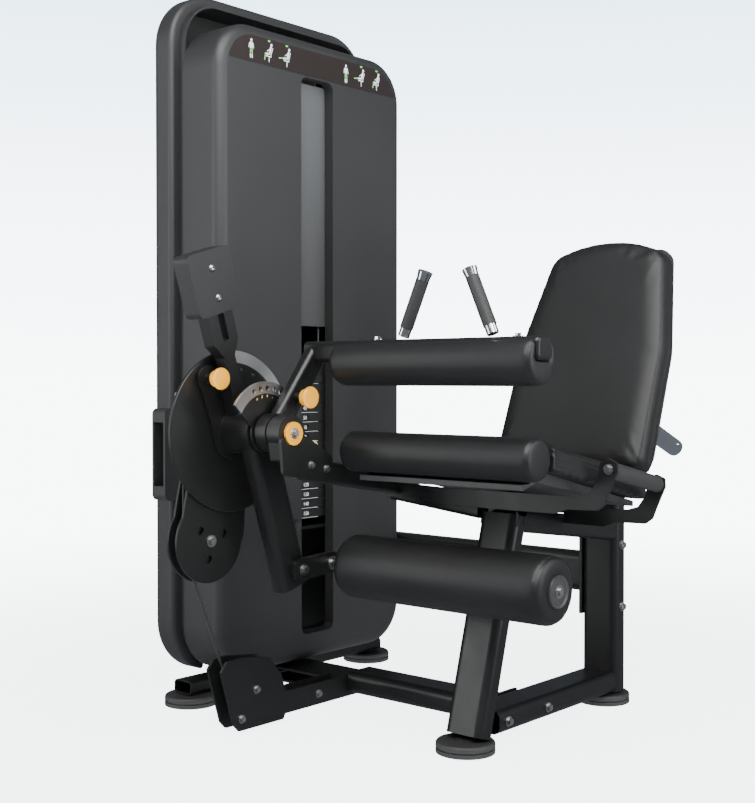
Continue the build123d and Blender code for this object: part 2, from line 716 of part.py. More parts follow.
def shin_axle():
    """Fixed axle that the shin roller turns on, with its end washer."""
    low, high = roller_ends()
    start = LEVER_X[1]
    axle = bar((start, ROLLER_Y, ROLLER_Z), (1, 0, 0), 10.0, high + 1.0 - start)
    axle += bar((start + 14.0, ROLLER_Y, ROLLER_Z), (1, 0, 0), 15.0, 4.0)
    axle += bar((low - 6.0, ROLLER_Y, ROLLER_Z), (1, 0, 0), 14.0, 5.0)
    return axle + hex_bolt((high + 1.0, ROLLER_Y, ROLLER_Z), (1, 0, 0), 7.0, 4.0, 13.0)


def shin_roller():
    """Foam roller, a plain solid with the true outer size."""
    low, high = roller_ends()
    body = ring((low, ROLLER_Y, ROLLER_Z), (1, 0, 0), ROLLER_R, 24.0, high - low)
    return fillet(body.edges().filter_by(lambda e: e.radius > 50.0 if e.geom_type == GeomType.CIRCLE
                                         else False), 16.0)


def roller_core():
    """Plastic tube inside the roller, with a bushed wall at each end."""
    low, high = roller_ends()
    tube = ring((low + 4.0, ROLLER_Y, ROLLER_Z), (1, 0, 0), 24.0, 20.0, high - low - 8.0)
    for start in (low + 4.0, high - 16.0):
        tube += ring((start, ROLLER_Y, ROLLER_Z), (1, 0, 0), 22.0, 10.0 + FIT, 12.0)
    return tube


# ---------------------------------------------------------------- thigh pad
def thigh_arm():
    """Arm from the knee axis up to the cross bar, welded in one piece."""
    low, high = ARM_X
    middle = (low + high) / 2
    top_y, top_z = from_pivot(math.hypot(PAD_Y - PIVOT_Y, BAR_Z - PIVOT_Z) - 4.0, thigh_angle())
    arm = tube_between((middle, PIVOT_Y, PIVOT_Z), (middle, top_y, top_z), (1, 0, 0),
                       high - low, 50.0, 10.0)
    hub = bar((low, PIVOT_Y, PIVOT_Z), (1, 0, 0), 40.0, high - low)
    cross = Plane(origin=(low, PAD_Y, BAR_Z), x_dir=(0, 1, 0), z_dir=(1, 0, 0))
    bar_section = oval(50.0, 46.0, 12.0)
    cross_bar = extrude(cross * bar_section, 535.0 - low)
    cross_bar = fillet(cross_bar.faces().sort_by(Axis.X)[-1].edges(), 7.0)
    body = arm + hub + cross_bar - bar((low - 1.0, PIVOT_Y, PIVOT_Z), (1, 0, 0), SLEEVE_R + FIT, 60.0)
    body += pin_barrel(high, thigh_pin_centre(), BARREL)
    y, z = thigh_pin_centre()
    return body - bar((low - 1.0, y, z), (1, 0, 0), 5.0 + FIT, 60.0)


def thigh_pad():
    """Pad under the cross bar, notched along its top for the bar."""
    low = SEAT_X + 15.0 - PAD_LENGTH / 2
    pad = bar((low, PAD_Y, PAD_Z), (1, 0, 0), PAD_R, PAD_LENGTH)
    pad = fillet(pad.edges(), 12.0)
    notch = Pos(low + PAD_LENGTH / 2, PAD_Y, BAR_Z + 10.0) * Box(PAD_LENGTH + 2.0, 50.6, 66.6)
    return pad - notch


def pad_bolts():
    """Bolts through the cross bar into the pad."""
    top = BAR_Z + 23.0
    return [hex_bolt((x, PAD_Y, top), (0, 0, 1), 6.5, 5.0, 9.5) for x in (128.0, 474.0)]


def hand_grips():
    """Centre lines of the two hand grips: foot and direction."""
    lean = math.radians(24.0)
    top = BAR_Z + 23.0
    return [((193.0, PAD_Y, top), (math.sin(lean), 0.0, math.cos(lean))),
            ((420.0, PAD_Y, top), (-math.sin(lean), 0.0, math.cos(lean)))]


def grip_metal():
    """Bright collar at the foot of each grip, its core and its flared end cap."""
    parts = []
    for foot, way in hand_grips():
        v = Vector(*way)
        base = Vector(*foot)
        post = bar(base + v * 7.0, way, 12.0, 18.0)
        core = bar(base + v * 25.0, way, 9.0, 104.0)
        cap = extrude(Plane(origin=base + v * 129.0, z_dir=way) * Circle(13.0), 17.0, taper=-8.0)
        parts.append(post + core + cap)
    return parts + pad_bolts()


def grip_sleeves():
    """Rubber sleeves of the hand grips."""
    parts = []
    for foot, way in hand_grips():
        v = Vector(*way)
        base = Vector(*foot)
        parts.append(ring(base + v * 25.0, way, 13.5, 9.0, 103.8))
    return parts


def sector_plate():
    """Fixed plate with the row of holes for the thigh arm's pin."""
    outer = bar((SECTOR_X, PIVOT_Y, PIVOT_Z), (1, 0, 0), 106.0, 6.0)
    left = from_pivot(240.0, -50.0)
    right = from_pivot(240.0, 56.0)
    wedge = plate_yz([(PIVOT_Y, PIVOT_Z - 30.0), left, (PIVOT_Y - 20.0, PIVOT_Z + 340.0), right],
                     SECTOR_X, SECTOR_X + 6.0, 0.5)
    body = (outer & wedge) + bar((SECTOR_X, PIVOT_Y, PIVOT_Z), (1, 0, 0), 42.0, 6.0)
    body -= bar((SECTOR_X - 1.0, PIVOT_Y, PIVOT_Z), (1, 0, 0), SLEEVE_R, 10.0)
    for i in range(STARTS):
        y, z = from_pivot(PIN_RADIUS, thigh_angle() - i * PIN_STEP)
        body -= bar((SECTOR_X - 1.0, y, z), (1, 0, 0), 5.1, 10.0)
    return body


# ---------------------------------------------------------------- seat frame
def front_leg():
    """Leg that leans back from the front foot to the seat rail."""
    lean = math.radians(16.0)
    low = 30.0
    high = 478.0
    start = (SEAT_X, -236.0, low)
    end = (SEAT_X, -236.0 + (high - low) * math.tan(lean), high)
    return tube_between(start, end, (1, 0, 0)) - Pos(SEAT_X, -236.0, 10.0) * Box(140, 140, 34.0)


def base_tube():
    """Floor tube under the seat, from the front leg to the rear post."""
    body = tube_between((SEAT_X, -190.0, 53.0), (SEAT_X, POST_Y - 25.0, 53.0), (1, 0, 0))
    return body - leg_space()


def leg_space():
    """The front leg's filled outline, cut out of the tubes that are welded to it."""
    lean = math.radians(16.0)
    start = (SEAT_X, -236.0 - 40 * math.tan(lean), -10.0)
    way = (0, math.sin(lean), math.cos(lean))
    plane = Plane(origin=start, x_dir=(1, 0, 0), z_dir=way)
    return extrude(plane * oval(TUBE_WIDE, TUBE_THIN, 18.0), 700.0)


def rear_post():
    """Upright post at the back, closed by a cap plate."""
    post = tube_between((SEAT_X, POST_Y, 28.0), (SEAT_X, POST_Y, 592.0), (1, 0, 0))
    flange = Pos(SEAT_X - 51.5, POST_Y, 303.0) * Box(8.0, 46.0, 196.0)
    cap = Pos(SEAT_X, POST_Y, 596.0) * Box(92.0, 48.0, 8.0)
    return [post + flange + cap, slide_sleeve()]


def rail_height(y):
    return 453.0 - y * math.tan(math.radians(RAIL_SLOPE))


def seat_rail():
    """Sloping rail that carries the seat, between the front leg and the rear post."""
    start = (SEAT_X, -128.0, rail_height(-128.0))
    end = (SEAT_X, POST_Y - 24.0, rail_height(POST_Y - 24.0))
    body = tube_between(start, end, (1, 0, 0))
    body -= Pos(SEAT_X, POST_Y, 400.0) * Box(120.0, 50.0, 400.0)
    return [body - leg_space()] + seat_blocks()


def cross_tube():
    """Floor tube from the tower's base to the seat frame."""
    low = CABLE_X + 24.0
    high = SEAT_X - TUBE_WIDE / 2 - 8.0
    body = tube_between((low, -85.0, 53.0), (high, -85.0, 53.0), (0, 1, 0))
    flange = Pos(high + 4.0, -85.0, 53.0) * Box(8.0, 190.0, 46.0)
    return body + flange


def mid_beam():
    """Upper beam along the tower's side to the rear post, with a plate down to the tower's base."""
    low = TOWER_SEAM + 5.0
    high = SEAT_X - TUBE_WIDE / 2 - 8.0
    level = 305.0
    thin = 46.0
    beam = tube_between((low, POST_Y, level), (high, POST_Y, level), (0, 0, 1), TUBE_WIDE, thin)
    bottom = level - TUBE_WIDE / 2 + 8.0
    top_of_base = 59.2
    plate = Pos(low + 20.0, POST_Y - thin / 2 + 4.0, (bottom + top_of_base) / 2)
    return beam + plate * Box(34.0, 7.0, bottom - top_of_base)


def pivot_arm():
    """Arm that reaches forward past the seat to carry the knee axis."""
    reach = tube_between((-10.0, -468.0, 586.0), (-10.0, -136.0, 531.0), (1, 0, 0), 34.0, 48.0, 9.0)
    reach -= Pos(-10.0, GRIP_FRONT + 49.8, 531.0) * Box(60.0, 100.0, 100.0)
    y = GRIP_FRONT + PLATE + 20.2
    cross = tube_between((-27.0, y, 514.0), (SEAT_X - TUBE_WIDE / 2 - 0.5, y, 488.0),
                         (0, 1, 0), 40.0, 40.0, 9.0)
    return [reach, cross - leg_space()]


def pivot_bracket():
    """Bracket from the arm up to the knee axis, with the bearing sleeve and two bolts."""
    low = -28.0
    high = 8.0
    hub = bar((low, PIVOT_Y, PIVOT_Z), (1, 0, 0), 38.0, high - low)
    neck = plate_yz([(-529.0, 655.0), (-457.0, 655.0), (-470.0, 600.0), (-520.0, 600.0)],
                    low + 1.0, high, 4.0)
    cheek = plate_yz([(-531.0, 650.0), (-455.0, 650.0), (-380.0, 605.0), (-382.0, 556.0),
                      (-450.0, 561.0), (-524.0, 573.0)], high - 0.8, high + 7.2, 8.0)
    cheek -= bar((high - 1.0, PIVOT_Y, PIVOT_Z), (1, 0, 0), SLEEVE_R + 0.5, 20.0)
    body = hub + neck + cheek
    for y, z in ((-444.0, 590.0), (-398.0, 580.0)):
        body += hex_bolt((high + 7.2, y, z), (1, 0, 0), 6.0, 5.0, 8.5)
    body -= bar((low - 1.0, PIVOT_Y, PIVOT_Z), (1, 0, 0), SLEEVE_R, high - low + 1.0)
    return [body, shaft_sleeve()]


# ---------------------------------------------------------------- seat
def handle_bracket(drop, y_low, notch_top):
    """Cross plate under the seat that rises to a side grip at each end, notched over the rail."""
    half = [(150.0, 493.0), (180.0, 504.0), (250.0, 506.0), (266.0, 518.0), (276.0, 543.0),
            (295.0, 586.0), (294.0, 604.0), (274.0, 612.0), (257.0, 602.0), (250.0, 566.0),
            (232.0, 541.0), (205.0, 533.0), (150.0, 531.0)]
    right = [(SEAT_X + x, z - drop) for x, z in half]
    left = [(SEAT_X - x, z - drop) for x, z in reversed(half)]
    body = plate_xz(right + left, y_low, y_low + PLATE, 4.0)
    notch = Pos(SEAT_X, y_low + PLATE / 2, notch_top - 100.0) * Box(TUBE_WIDE + 2.0, 20.0, 200.0)
    return body - notch


def handle_brackets():
    """Front and rear cross plates of the side grips."""
    rail_top = rail_height(GRIP_REAR) + TUBE_THIN / 2 + 1.0
    return [handle_bracket(0.0, GRIP_FRONT, 400.0), handle_bracket(GRIP_DROP, GRIP_REAR, rail_top)]


def side_grips():
    """Round grips along both sides of the seat."""
    parts = []
    for side in (-1, 1):
        x = SEAT_X + side * GRIP_REACH
        start = Vector(x, GRIP_FRONT, 590.0)
        end = Vector(x, GRIP_REAR + PLATE, 590.0 - GRIP_DROP)
        gap = GRIP_REAR - GRIP_FRONT - PLATE
        middle = (GRIP_FRONT + PLATE + GRIP_REAR) / 2
        body = bar(start, end - start, 17.0, (end - start).length)
        body = body & (Pos(x, middle, 568.0) * Box(60.0, gap - 0.2, 120.0))
        parts.append(body)
    return parts


def grip_bolts():
    parts = []
    for side in (-1, 1):
        x = SEAT_X + side * GRIP_REACH
        parts.append(hex_bolt((x, GRIP_FRONT, 590.0), (0, -1, 0), 7.0, 6.0, 10.5))
        parts.append(hex_bolt((x, GRIP_REAR + PLATE, 590.0 - GRIP_DROP), (0, 1, 0), 7.0, 6.0, 10.5))
    return parts


def bolster():
    """Roll along the front edge of the seat, a plain solid with the true outer size."""
    body = bar((SEAT_X - SEAT_WIDE / 2, BOLSTER_Y, BOLSTER_Z), (1, 0, 0), BOLSTER_R, SEAT_WIDE)
    return fillet(body.edges(), 12.0)


def cushion_top(y):
    return 655.0 - (y + 320.0) * math.tan(math.radians(SEAT_SLOPE))


def seat_cushion():
    """Seat cushion, a plain solid with the true outer size."""
    front = BOLSTER_Y + BOLSTER_R + 1.0
    back = 84.0
    thick = 56.0
    outline = [(front, cushion_top(front)), (back, cushion_top(back)),
               (back, cushion_top(back) - thick), (front, cushion_top(front) - thick)]
    return plate_yz(outline, SEAT_X - SEAT_WIDE / 2, SEAT_X + SEAT_WIDE / 2, 9.0)


def board_bottom(y):
    """Underside of the seat board: it thickens towards the front."""
    taper = BOARD_THIN * (SEAT_BACK_Y - y) / (SEAT_BACK_Y - BOLSTER_Y)
    return cushion_top(y) - CUSHION_DROP - BOARD_THIN - taper


def seat_board():
    """Board under the cushion, turned up behind the roll."""
    front = BOLSTER_Y - 10.0
    under_roll = BOLSTER_Z - BOLSTER_R - 1.0
    middle = BOLSTER_Y + BOLSTER_R + 1.0
    outline = [(middle, cushion_top(middle) - CUSHION_DROP),
               (SEAT_BACK_Y, cushion_top(SEAT_BACK_Y) - CUSHION_DROP),
               (SEAT_BACK_Y, board_bottom(SEAT_BACK_Y)),
               (BOLSTER_Y + 40.0, board_bottom(BOLSTER_Y + 40.0)),
               (front, under_roll - 13.0), (front, under_roll), (BOLSTER_Y + 14.0, under_roll)]
    return plate_yz(outline, SEAT_X - 205.0, SEAT_X + 205.0, 2.0)


def seat_blocks():
    """Spacers between the rail and the seat board."""
    parts = []
    for y in (-60.0, 20.0):
        high = board_bottom(y + 20.0) - 0.3
        low = rail_height(y - 20.0) + TUBE_THIN / 2 + 0.6
        parts.append(Pos(SEAT_X, y, (low + high) / 2) * Box(60.0, 40.0, high - low))
    return parts


# ---------------------------------------------------------------- back rest
def back_plane(behind):
    """Plane of the back rest, moved behind its front face; X across, Y up the face."""
    lean = math.radians(BACK_LEAN)
    start = (SEAT_X, 114.0 + behind * math.cos(lean), 570.0 - behind * math.sin(lean))
    return Plane(origin=start, x_dir=(1, 0, 0), z_dir=(0, -math.cos(lean), math.sin(lean)))


def back_outline(shrink):
    return FilletPolyline(
        (-200.0 + shrink, shrink), (-196.0 + shrink, 300.0), (-150.0 + shrink, 573.0 - shrink),
        (150.0 - shrink, 573.0 - shrink), (196.0 - shrink, 300.0), (200.0 - shrink, shrink),
        radius=[45.0, 200.0, 40.0, 40.0, 200.0, 45.0], close=True)


def backrest_pad():
    """Back cushion, a plain solid with the true outer size."""
    body = extrude(back_plane(60.0) * make_face(back_outline(0.0)), 60.0)
    return fillet(body.faces().sort_by(Axis.Y)[0].edges(), 12.0)


def backrest_board():
    """Moulded board behind the back cushion."""
    body = extrude(back_plane(72.0) * make_face(back_outline(10.0)), 11.7)
    return body


def slide_point(back):
    """A point on the slide's axis, at a distance behind the back rest's front face."""
    plane = back_plane(back)
    return plane.from_local_coords((0, SLIDE_UP, 0))


def slide_way():
    lean = math.radians(BACK_LEAN)
    return (0, math.cos(lean), -math.sin(lean))


def slide_tube():
    """Chrome tube that carries the back rest and slides in the sleeve on the post."""
    start = Vector(slide_point(84.0))
    tube = ring(start, slide_way(), SLIDE_R, SLIDE_R - 3.0, 416.0)
    flange = extrude(Plane(origin=Vector(slide_point(72.0)), x_dir=(1, 0, 0), z_dir=slide_way())
                     * oval(150.0, 110.0, 15.0), 12.0)
    for i in range(7):
        back = Vector(slide_point(PIN_BACK + (i - 1) * SLIDE_STEP))
        tube -= bar(back, (-1, 0, 0), 5.2, 40.0)
    plug = bar(Vector(slide_point(496.0)), slide_way(), SLIDE_R - 3.0, 4.0)
    return [tube + flange + plug, slide_stop()]


def slide_sleeve():
    """Bearing sleeve on the rear post with its cheek plates."""
    start = Vector(slide_point(119.0))
    body = bar(start, slide_way(), 30.0, 92.0)
    foot = Pos(SEAT_X, POST_Y, 604.0) * Box(88.0, 46.0, 8.0)
    cheeks = plate_yz([(286.0, 602.0), (324.0, 602.0), (372.0, 676.0), (386.0, 694.0),
                       (372.0, 722.0), (310.0, 743.0), (295.0, 712.0)],
                      SEAT_X - 36.0, SEAT_X + 36.0, 6.0)
    cheeks -= plate_yz([(200.0, 609.0), (420.0, 609.0), (420.0, 800.0), (200.0, 800.0)],
                       SEAT_X - 27.0, SEAT_X + 27.0, 2.0)
    barrel = bar(pin_place(), (-1, 0, 0), 12.0, 44.0)
    body = body + cheeks + foot + barrel
    body -= bar(Vector(slide_point(100.0)), slide_way(), SLIDE_R + FIT, 140.0)
    return body - bar(pin_place(), (-1, 0, 0), 5.0 + FIT, 60.0)


def pin_place():
    return Vector(slide_point(PIN_BACK))


def back_pin():
    """Pull pin that locks the back rest's slide, parked just out of its hole."""
    tip = pin_place() + Vector(-23.0, 0, 0)
    knob_face = pin_place() + Vector(-50.5, 0, 0)
    knob = fillet(bar(knob_face, (-1, 0, 0), 20.0, 9.0).edges(), 2.5)
    return bar(tip, (-1, 0, 0), 5.0, 30.0) + knob


def slide_stop():
    """Screw in the tube's end that keeps it from leaving the sleeve."""
    place = Vector(slide_point(478.0)) + Vector(SLIDE_R - 1.0, 0, 0)
    return bar(place, (1, 0, 0), 5.5, 4.0)


# ---------------------------------------------------------------- feet, fasteners, accessories
def foot(x, y, stem_top):
    pad = bar((x, y, 0.0), (0, 0, 1), FOOT_R, FOOT_T)
    pad = fillet(pad.edges().sort_by(Axis.Z)[-1], 6.0)
    groove = ring((x, y, 9.0), (0, 0, 1), FOOT_R + 4.0, FOOT_R - 2.5, 3.0)
    pad -= groove
    return pad + bar((x, y, FOOT_T - 1.0), (0, 0, 1), 20.0, stem_top - FOOT_T + 1.0)


def feet():
    """Four rubber feet: two under the tower, two under the seat."""
    return [foot(UPRIGHT_X, TOWER_Y - 314.0, 27.0), foot(UPRIGHT_X, TOWER_Y + 314.0, 27.0),
            foot(SEAT_X, -246.0, 26.5), foot(SEAT_X, POST_Y - 3.0, 27.5)]


def frame_bolts():
    """Bolt heads and washers of the bolted frame joints."""
    right = SEAT_X + TUBE_WIDE / 2
    parts = []
    for z in (230.0, 376.0):
        parts.append(hex_bolt((right, POST_Y, z), (1, 0, 0)))
        parts.append(hex_bolt((SEAT_X - 55.5, POST_Y, z), (-1, 0, 0)))
    for y in (-160.0, -10.0):
        parts.append(hex_bolt((right, y, 53.0), (1, 0, 0)))
    cheek = CABLE_X + 24.0
    for y, z in ((FLOOR_Y, FLOOR_Z), (-230.0, 46.0), (-470.0, 36.0)):
        parts.append(hex_bolt((cheek, y, z), (1, 0, 0), 6.5, 6.0, 9.5))
    return parts + grip_bolts()


def side_holder():
    """Open holder for small things on the tower's front side: two rounded plates and a floor."""
    parts = []
    inner = TOWER_Y - FRONT_SHELL[0] / 2 - 0.4
    outline = [(-453.0, 487.0), (inner, 487.0), (inner, 700.0), (-453.0, 700.0)]
    body = plate_yz(outline, -486.0, -440.0, 14.0)
    body -= plate_yz([(-470.0, 520.0), (-300.0, 520.0), (-300.0, 668.0), (-470.0, 668.0)],
                     -480.0, -446.0, 6.0)
    parts.append(body)
    return parts


PARTS = [
    rear_shroud, front_shroud, placard, slot_window, tower_frame, guide_rods, resting_plates,
    lifted_plates, head_plate, selector_rod, selector_pin, stack_cushions, carriage_pulley,
    floor_pulley, turning_pulley, base_pulley, top_pulley, pulley_mounts, floor_bracket,
    lower_cable, drive_cable, stack_cable, cam, cam_fasteners, main_shaft, pivot_cap, lever_arm,
    lever_knob, counterweight, lever_bumpers, shin_link, shin_axle, shin_roller, roller_core,
    thigh_arm, thigh_knob, thigh_pad, grip_metal, grip_sleeves, sector_plate, front_leg,
    base_tube, rear_post, seat_rail, cross_tube, mid_beam, pivot_arm, pivot_bracket,
    handle_brackets, side_grips, bolster, seat_cushion, seat_board, backrest_pad,
    backrest_board, slide_tube, back_pin, feet, frame_bolts, side_holder,
]

os.makedirs("parts", exist_ok=True)
for make in PARTS:
    save(make.__name__, make())
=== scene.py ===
# %% [markdown]
# # A leg extension machine
# The machine's frame, shafts and joints come from the CAD model. Here the soft pads, the knobs,
# the printed labels and every finish are made around that frame. The frame is loaded first,
# because each new piece takes its place from a CAD node or a joint.

# %% Load the frame
import json
import math

import bmesh
import bpy
from mathutils import Matrix, Vector, kdtree
from mathutils.bvhtree import BVHTree


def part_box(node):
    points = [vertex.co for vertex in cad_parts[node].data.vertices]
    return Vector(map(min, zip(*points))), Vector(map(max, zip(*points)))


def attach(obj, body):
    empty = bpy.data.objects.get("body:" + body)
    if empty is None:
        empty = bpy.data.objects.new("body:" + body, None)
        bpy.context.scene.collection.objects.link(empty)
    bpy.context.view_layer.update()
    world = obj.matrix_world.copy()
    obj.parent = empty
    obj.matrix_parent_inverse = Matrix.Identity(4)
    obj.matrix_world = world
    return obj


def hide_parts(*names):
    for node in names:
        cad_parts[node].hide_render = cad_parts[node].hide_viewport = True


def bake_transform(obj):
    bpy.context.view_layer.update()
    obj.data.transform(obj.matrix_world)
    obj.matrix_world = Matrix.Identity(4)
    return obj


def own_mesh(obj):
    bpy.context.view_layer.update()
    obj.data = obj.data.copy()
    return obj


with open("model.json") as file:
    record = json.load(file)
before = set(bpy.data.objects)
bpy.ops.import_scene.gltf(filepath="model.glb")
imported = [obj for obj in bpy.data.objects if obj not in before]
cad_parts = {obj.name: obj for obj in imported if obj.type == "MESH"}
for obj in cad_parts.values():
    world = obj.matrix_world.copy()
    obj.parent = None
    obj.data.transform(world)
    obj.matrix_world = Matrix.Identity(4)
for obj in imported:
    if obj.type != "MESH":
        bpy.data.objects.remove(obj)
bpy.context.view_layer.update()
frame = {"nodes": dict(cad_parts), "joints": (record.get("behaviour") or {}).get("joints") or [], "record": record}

nodes = frame["nodes"]
joints = {joint["name"]: joint for joint in frame["joints"]}
pivot = Vector(joints["cam_turn"]["pos_m"])

# %% [markdown]
# ## Camera
# The machine is seen from its free side, a little from the front, by a camera at the height of a
# seated user's chest. A long lens keeps the tower's edges almost parallel. The view is a little
# taller than it is wide, so the lens's angle belongs to its height.

# %% Camera
CAMERA_PLACE = (1.825, -2.333, 0.77)
CAMERA_TURN = 40.77
CAMERA_DROP = 1.06
LENS = 56.76
camera_data = bpy.data.cameras.new("camera")
camera_data.lens = LENS
camera_data.sensor_width = 36.0
camera = bpy.data.objects.new("camera", camera_data)
camera.location = CAMERA_PLACE
camera.rotation_euler = (math.radians(90 - CAMERA_DROP), 0, math.radians(CAMERA_TURN))
bpy.context.scene.collection.objects.link(camera)
bpy.context.scene.camera = camera
print("camera", CAMERA_PLACE)

# %% [markdown]
# ## Shader maths as Python
# A finish is a small sum: a base value, some noise, a mask. Wiring such sums by hand hides them
# among nodes. A `Wire` wraps one socket and lets Python's operators add the Math nodes, and
# `Paint.node` makes any other node from its type, its settings and its socket values.


# %% Wire and Paint
class Wire:
    """A value on its way between two shader nodes."""

    def __init__(self, paint, socket):
        self.paint = paint
        self.socket = socket

    def __add__(self, other):
        return self.paint.maths("ADD", self, other)

    def __sub__(self, other):
        return self.paint.maths("SUBTRACT", self, other)

    def __rsub__(self, other):
        return self.paint.maths("SUBTRACT", other, self)

    def __mul__(self, other):
        return self.paint.maths("MULTIPLY", self, other)

    def __pow__(self, other):
        return self.paint.maths("POWER", self, other)

    __radd__ = __add__
    __rmul__ = __mul__


class Paint:
    """One material. Its Object coordinates are in metres, in the machine's own frame."""

    def __init__(self, name):
        self.material = bpy.data.materials.new(name)
        self.material.use_nodes = True
        self.tree = self.material.node_tree
        self.shader = self.tree.nodes["Principled BSDF"]
        self.place = self.node("TexCoord", output="Object")

    def node(self, kind, settings=(), values=(), output=0):
        made = self.tree.nodes.new("ShaderNode" + kind)
        for name, setting in dict(settings).items():
            setattr(made, name, setting)
        for name, value in dict(values).items():
            self.feed(made.inputs[name], value)
        return Wire(self, made.outputs[output])

    def feed(self, socket, value):
        if isinstance(value, Wire):
            self.tree.links.new(value.socket, socket)
        else:
            socket.default_value = value

    def maths(self, operation, first, second):
        return self.node("Math", {"operation": operation}, {0: first, 1: second})

    def noise(self, scale, detail=2.0):
        values = {"Vector": self.place, "Scale": scale, "Detail": detail}
        return self.node("TexNoise", values=values)

    def cells(self, scale, feature="F1", where=None):
        values = {"Vector": where or self.place, "Scale": scale}
        return self.node("TexVoronoi", {"feature": feature}, values, "Distance")

    def ramp(self, value, low, high):
        """0 below low, 1 above high, smooth between."""
        settings = {"interpolation_type": "SMOOTHSTEP"}
        return self.node("MapRange", settings, {0: value, 1: low, 2: high})

    def blend(self, factor, first, second):
        """A colour between two colours."""
        return self.node("Mix", {"data_type": "RGBA"}, {0: factor, 6: first, 7: second}, 2)

    def axis(self, name):
        return self.node("SeparateXYZ", values={0: self.place}, output=name)

    def bump(self, height, strength, distance, base=None):
        values = {"Height": height, "Strength": strength, "Distance": distance}
        if base:
            values["Normal"] = base
        return self.node("Bump", values=values)

    def finish(self, **values):
        """Feeds the shader's own sockets, with underscores for spaces, and gives the material."""
        for name, value in values.items():
            self.feed(self.shader.inputs[name.replace("_", " ")], value)
        return self.material


def grey(level, warm=0.0):
    """A nearly neutral colour: warm above 0 leans to red, below 0 to blue."""
    return (level * (1 + warm), level, level * (1 - warm), 1.0)


print("paint tools ready")

# %% [markdown]
# ## Moulded shell plastic
# The tower's shells are one thick sheet of charcoal plastic, drawn over a mould. The real surface
# has a very fine leather-like grain and goes slightly cloudy in large patches. Two noises at very
# different scales give both: the fine one only tilts the surface, the large one only shifts
# colour and gloss.


# %% Shell plastic
def shell_plastic():
    paint = Paint("shell_plastic")
    cloud = paint.noise(5.0)
    grain = paint.noise(1500.0, 3.0)
    colour = paint.blend(cloud, grey(0.0100, -0.01), grey(0.0130, -0.01))
    rough = 0.42 + 0.10 * cloud + 0.05 * grain
    normal = paint.bump(grain, 0.12, 0.0002)
    return paint.finish(Base_Color=colour, Roughness=rough, Normal=normal)


# %% [markdown]
# ## Powder coat
# The steel tubes are powder coated in black. The powder melts into a skin with soft waves, called
# orange peel, and it is thinnest on sharp edges, where it looks a little paler. The Bevel node
# rounds the shaded edge by a millimetre, and where it differs from the true normal there is an
# edge: that difference is the mask for the paler rim.


# %% Powder coat
def powder_coat(name="powder_coat", level=0.0032, gloss=0.30, bare_or_highlight=None):
    """Powder coat; bare_or_highlight(paint) gives a mask, 1 where the steel is left uncoated and where bright
    steel is painted on as a highlight.
    """
    paint = Paint(name)
    peel = paint.noise(420.0, 2.0)
    dust = paint.noise(26.0, 4.0)
    rounded = paint.node("Bevel", {"samples": 3}, {"Radius": 0.0013}, "Normal")
    true = paint.node("NewGeometry", output="Normal")
    along = paint.node("VectorMath", {"operation": "DOT_PRODUCT"}, {0: rounded, 1: true}, "Value")
    edge = paint.ramp(1 - along, 0.01, 0.35)
    colour = paint.blend(edge * (0.25 + 0.5 * dust), grey(level), grey(level * 4.5))
    rough = gloss + 0.12 * dust + 0.05 * peel
    normal = paint.bump(peel, 0.10, 0.0004, rounded)
    steel = 0.0
    # The mask gives bare steel, and on the disc a painted highlight as bright steel.
    if bare_or_highlight:
        steel = bare_or_highlight(paint)
        colour = paint.blend(steel, colour, paint.blend(dust, grey(0.34), grey(0.50)))
    return paint.finish(Base_Color=colour, Roughness=rough, Metallic=steel, Normal=normal)


# %% [markdown]
# ## Bare steel and a painted highlight on coated parts
# Some parts are coated, but a rim or a bolt head on them is bare steel. On the disc, a bright steel ring near the
# rim's upper rear quarter is a painted highlight. Each mask says where: a distance from the knee axis for the
# rims, and a face of the part for the bolts, because a bolt head stands out beyond that face.

# %% Masks for bare steel and a painted highlight
SECTOR_RIM = 0.0812
DISC_RING = 0.1455
BRACKET_FACE = 0.0156
LINK_FACE = -0.0616
FRONT_PLATE = -0.1465
REAR_PLATE = 0.0575


def from_pivot(paint):
    """Distance from the knee axis, in metres."""
    across = (paint.axis("Y") - pivot.y) ** 2
    return (across + (paint.axis("Z") - pivot.z) ** 2) ** 0.5


def sector_band(paint):
    return paint.ramp(from_pivot(paint), SECTOR_RIM, SECTOR_RIM + 0.0008)


def bracket_bolts(paint):
    return paint.ramp(paint.axis("X"), BRACKET_FACE, BRACKET_FACE + 0.0004)


def link_bolt(paint):
    return paint.ramp(paint.axis("X"), LINK_FACE, LINK_FACE + 0.0004)


def grip_bolts(paint):
    """In front of the grips' front plate, and behind their rear plate."""
    front = 1 - paint.ramp(paint.axis("Y"), FRONT_PLATE - 0.0005, FRONT_PLATE)
    return front + paint.ramp(paint.axis("Y"), REAR_PLATE, REAR_PLATE + 0.0005)


def disc_painted_highlight(paint):
    """A painted highlight: bright bare steel along the rim on the upper rear quarter of the disc."""
    # Painted highlight: a ring near the rim, kept to its upper rear part, becomes bright steel.
    ring = paint.ramp(from_pivot(paint), DISC_RING, DISC_RING + 0.002)
    rise = paint.ramp(paint.axis("Z"), pivot.z + 0.035, pivot.z + 0.075)
    behind = paint.ramp(paint.axis("Y"), pivot.y - 0.02, pivot.y + 0.01)
    return ring * rise * behind * 0.85


# %% [markdown]
# ## Upholstery vinyl
# The pads are covered in black vinyl embossed with a leather grain: small rounded cells between
# narrow valleys. Voronoi's distance to the nearest edge is that shape. The lookup is shifted by a
# little noise so that the cells aren't straight-sided, and the valleys are slightly rougher.


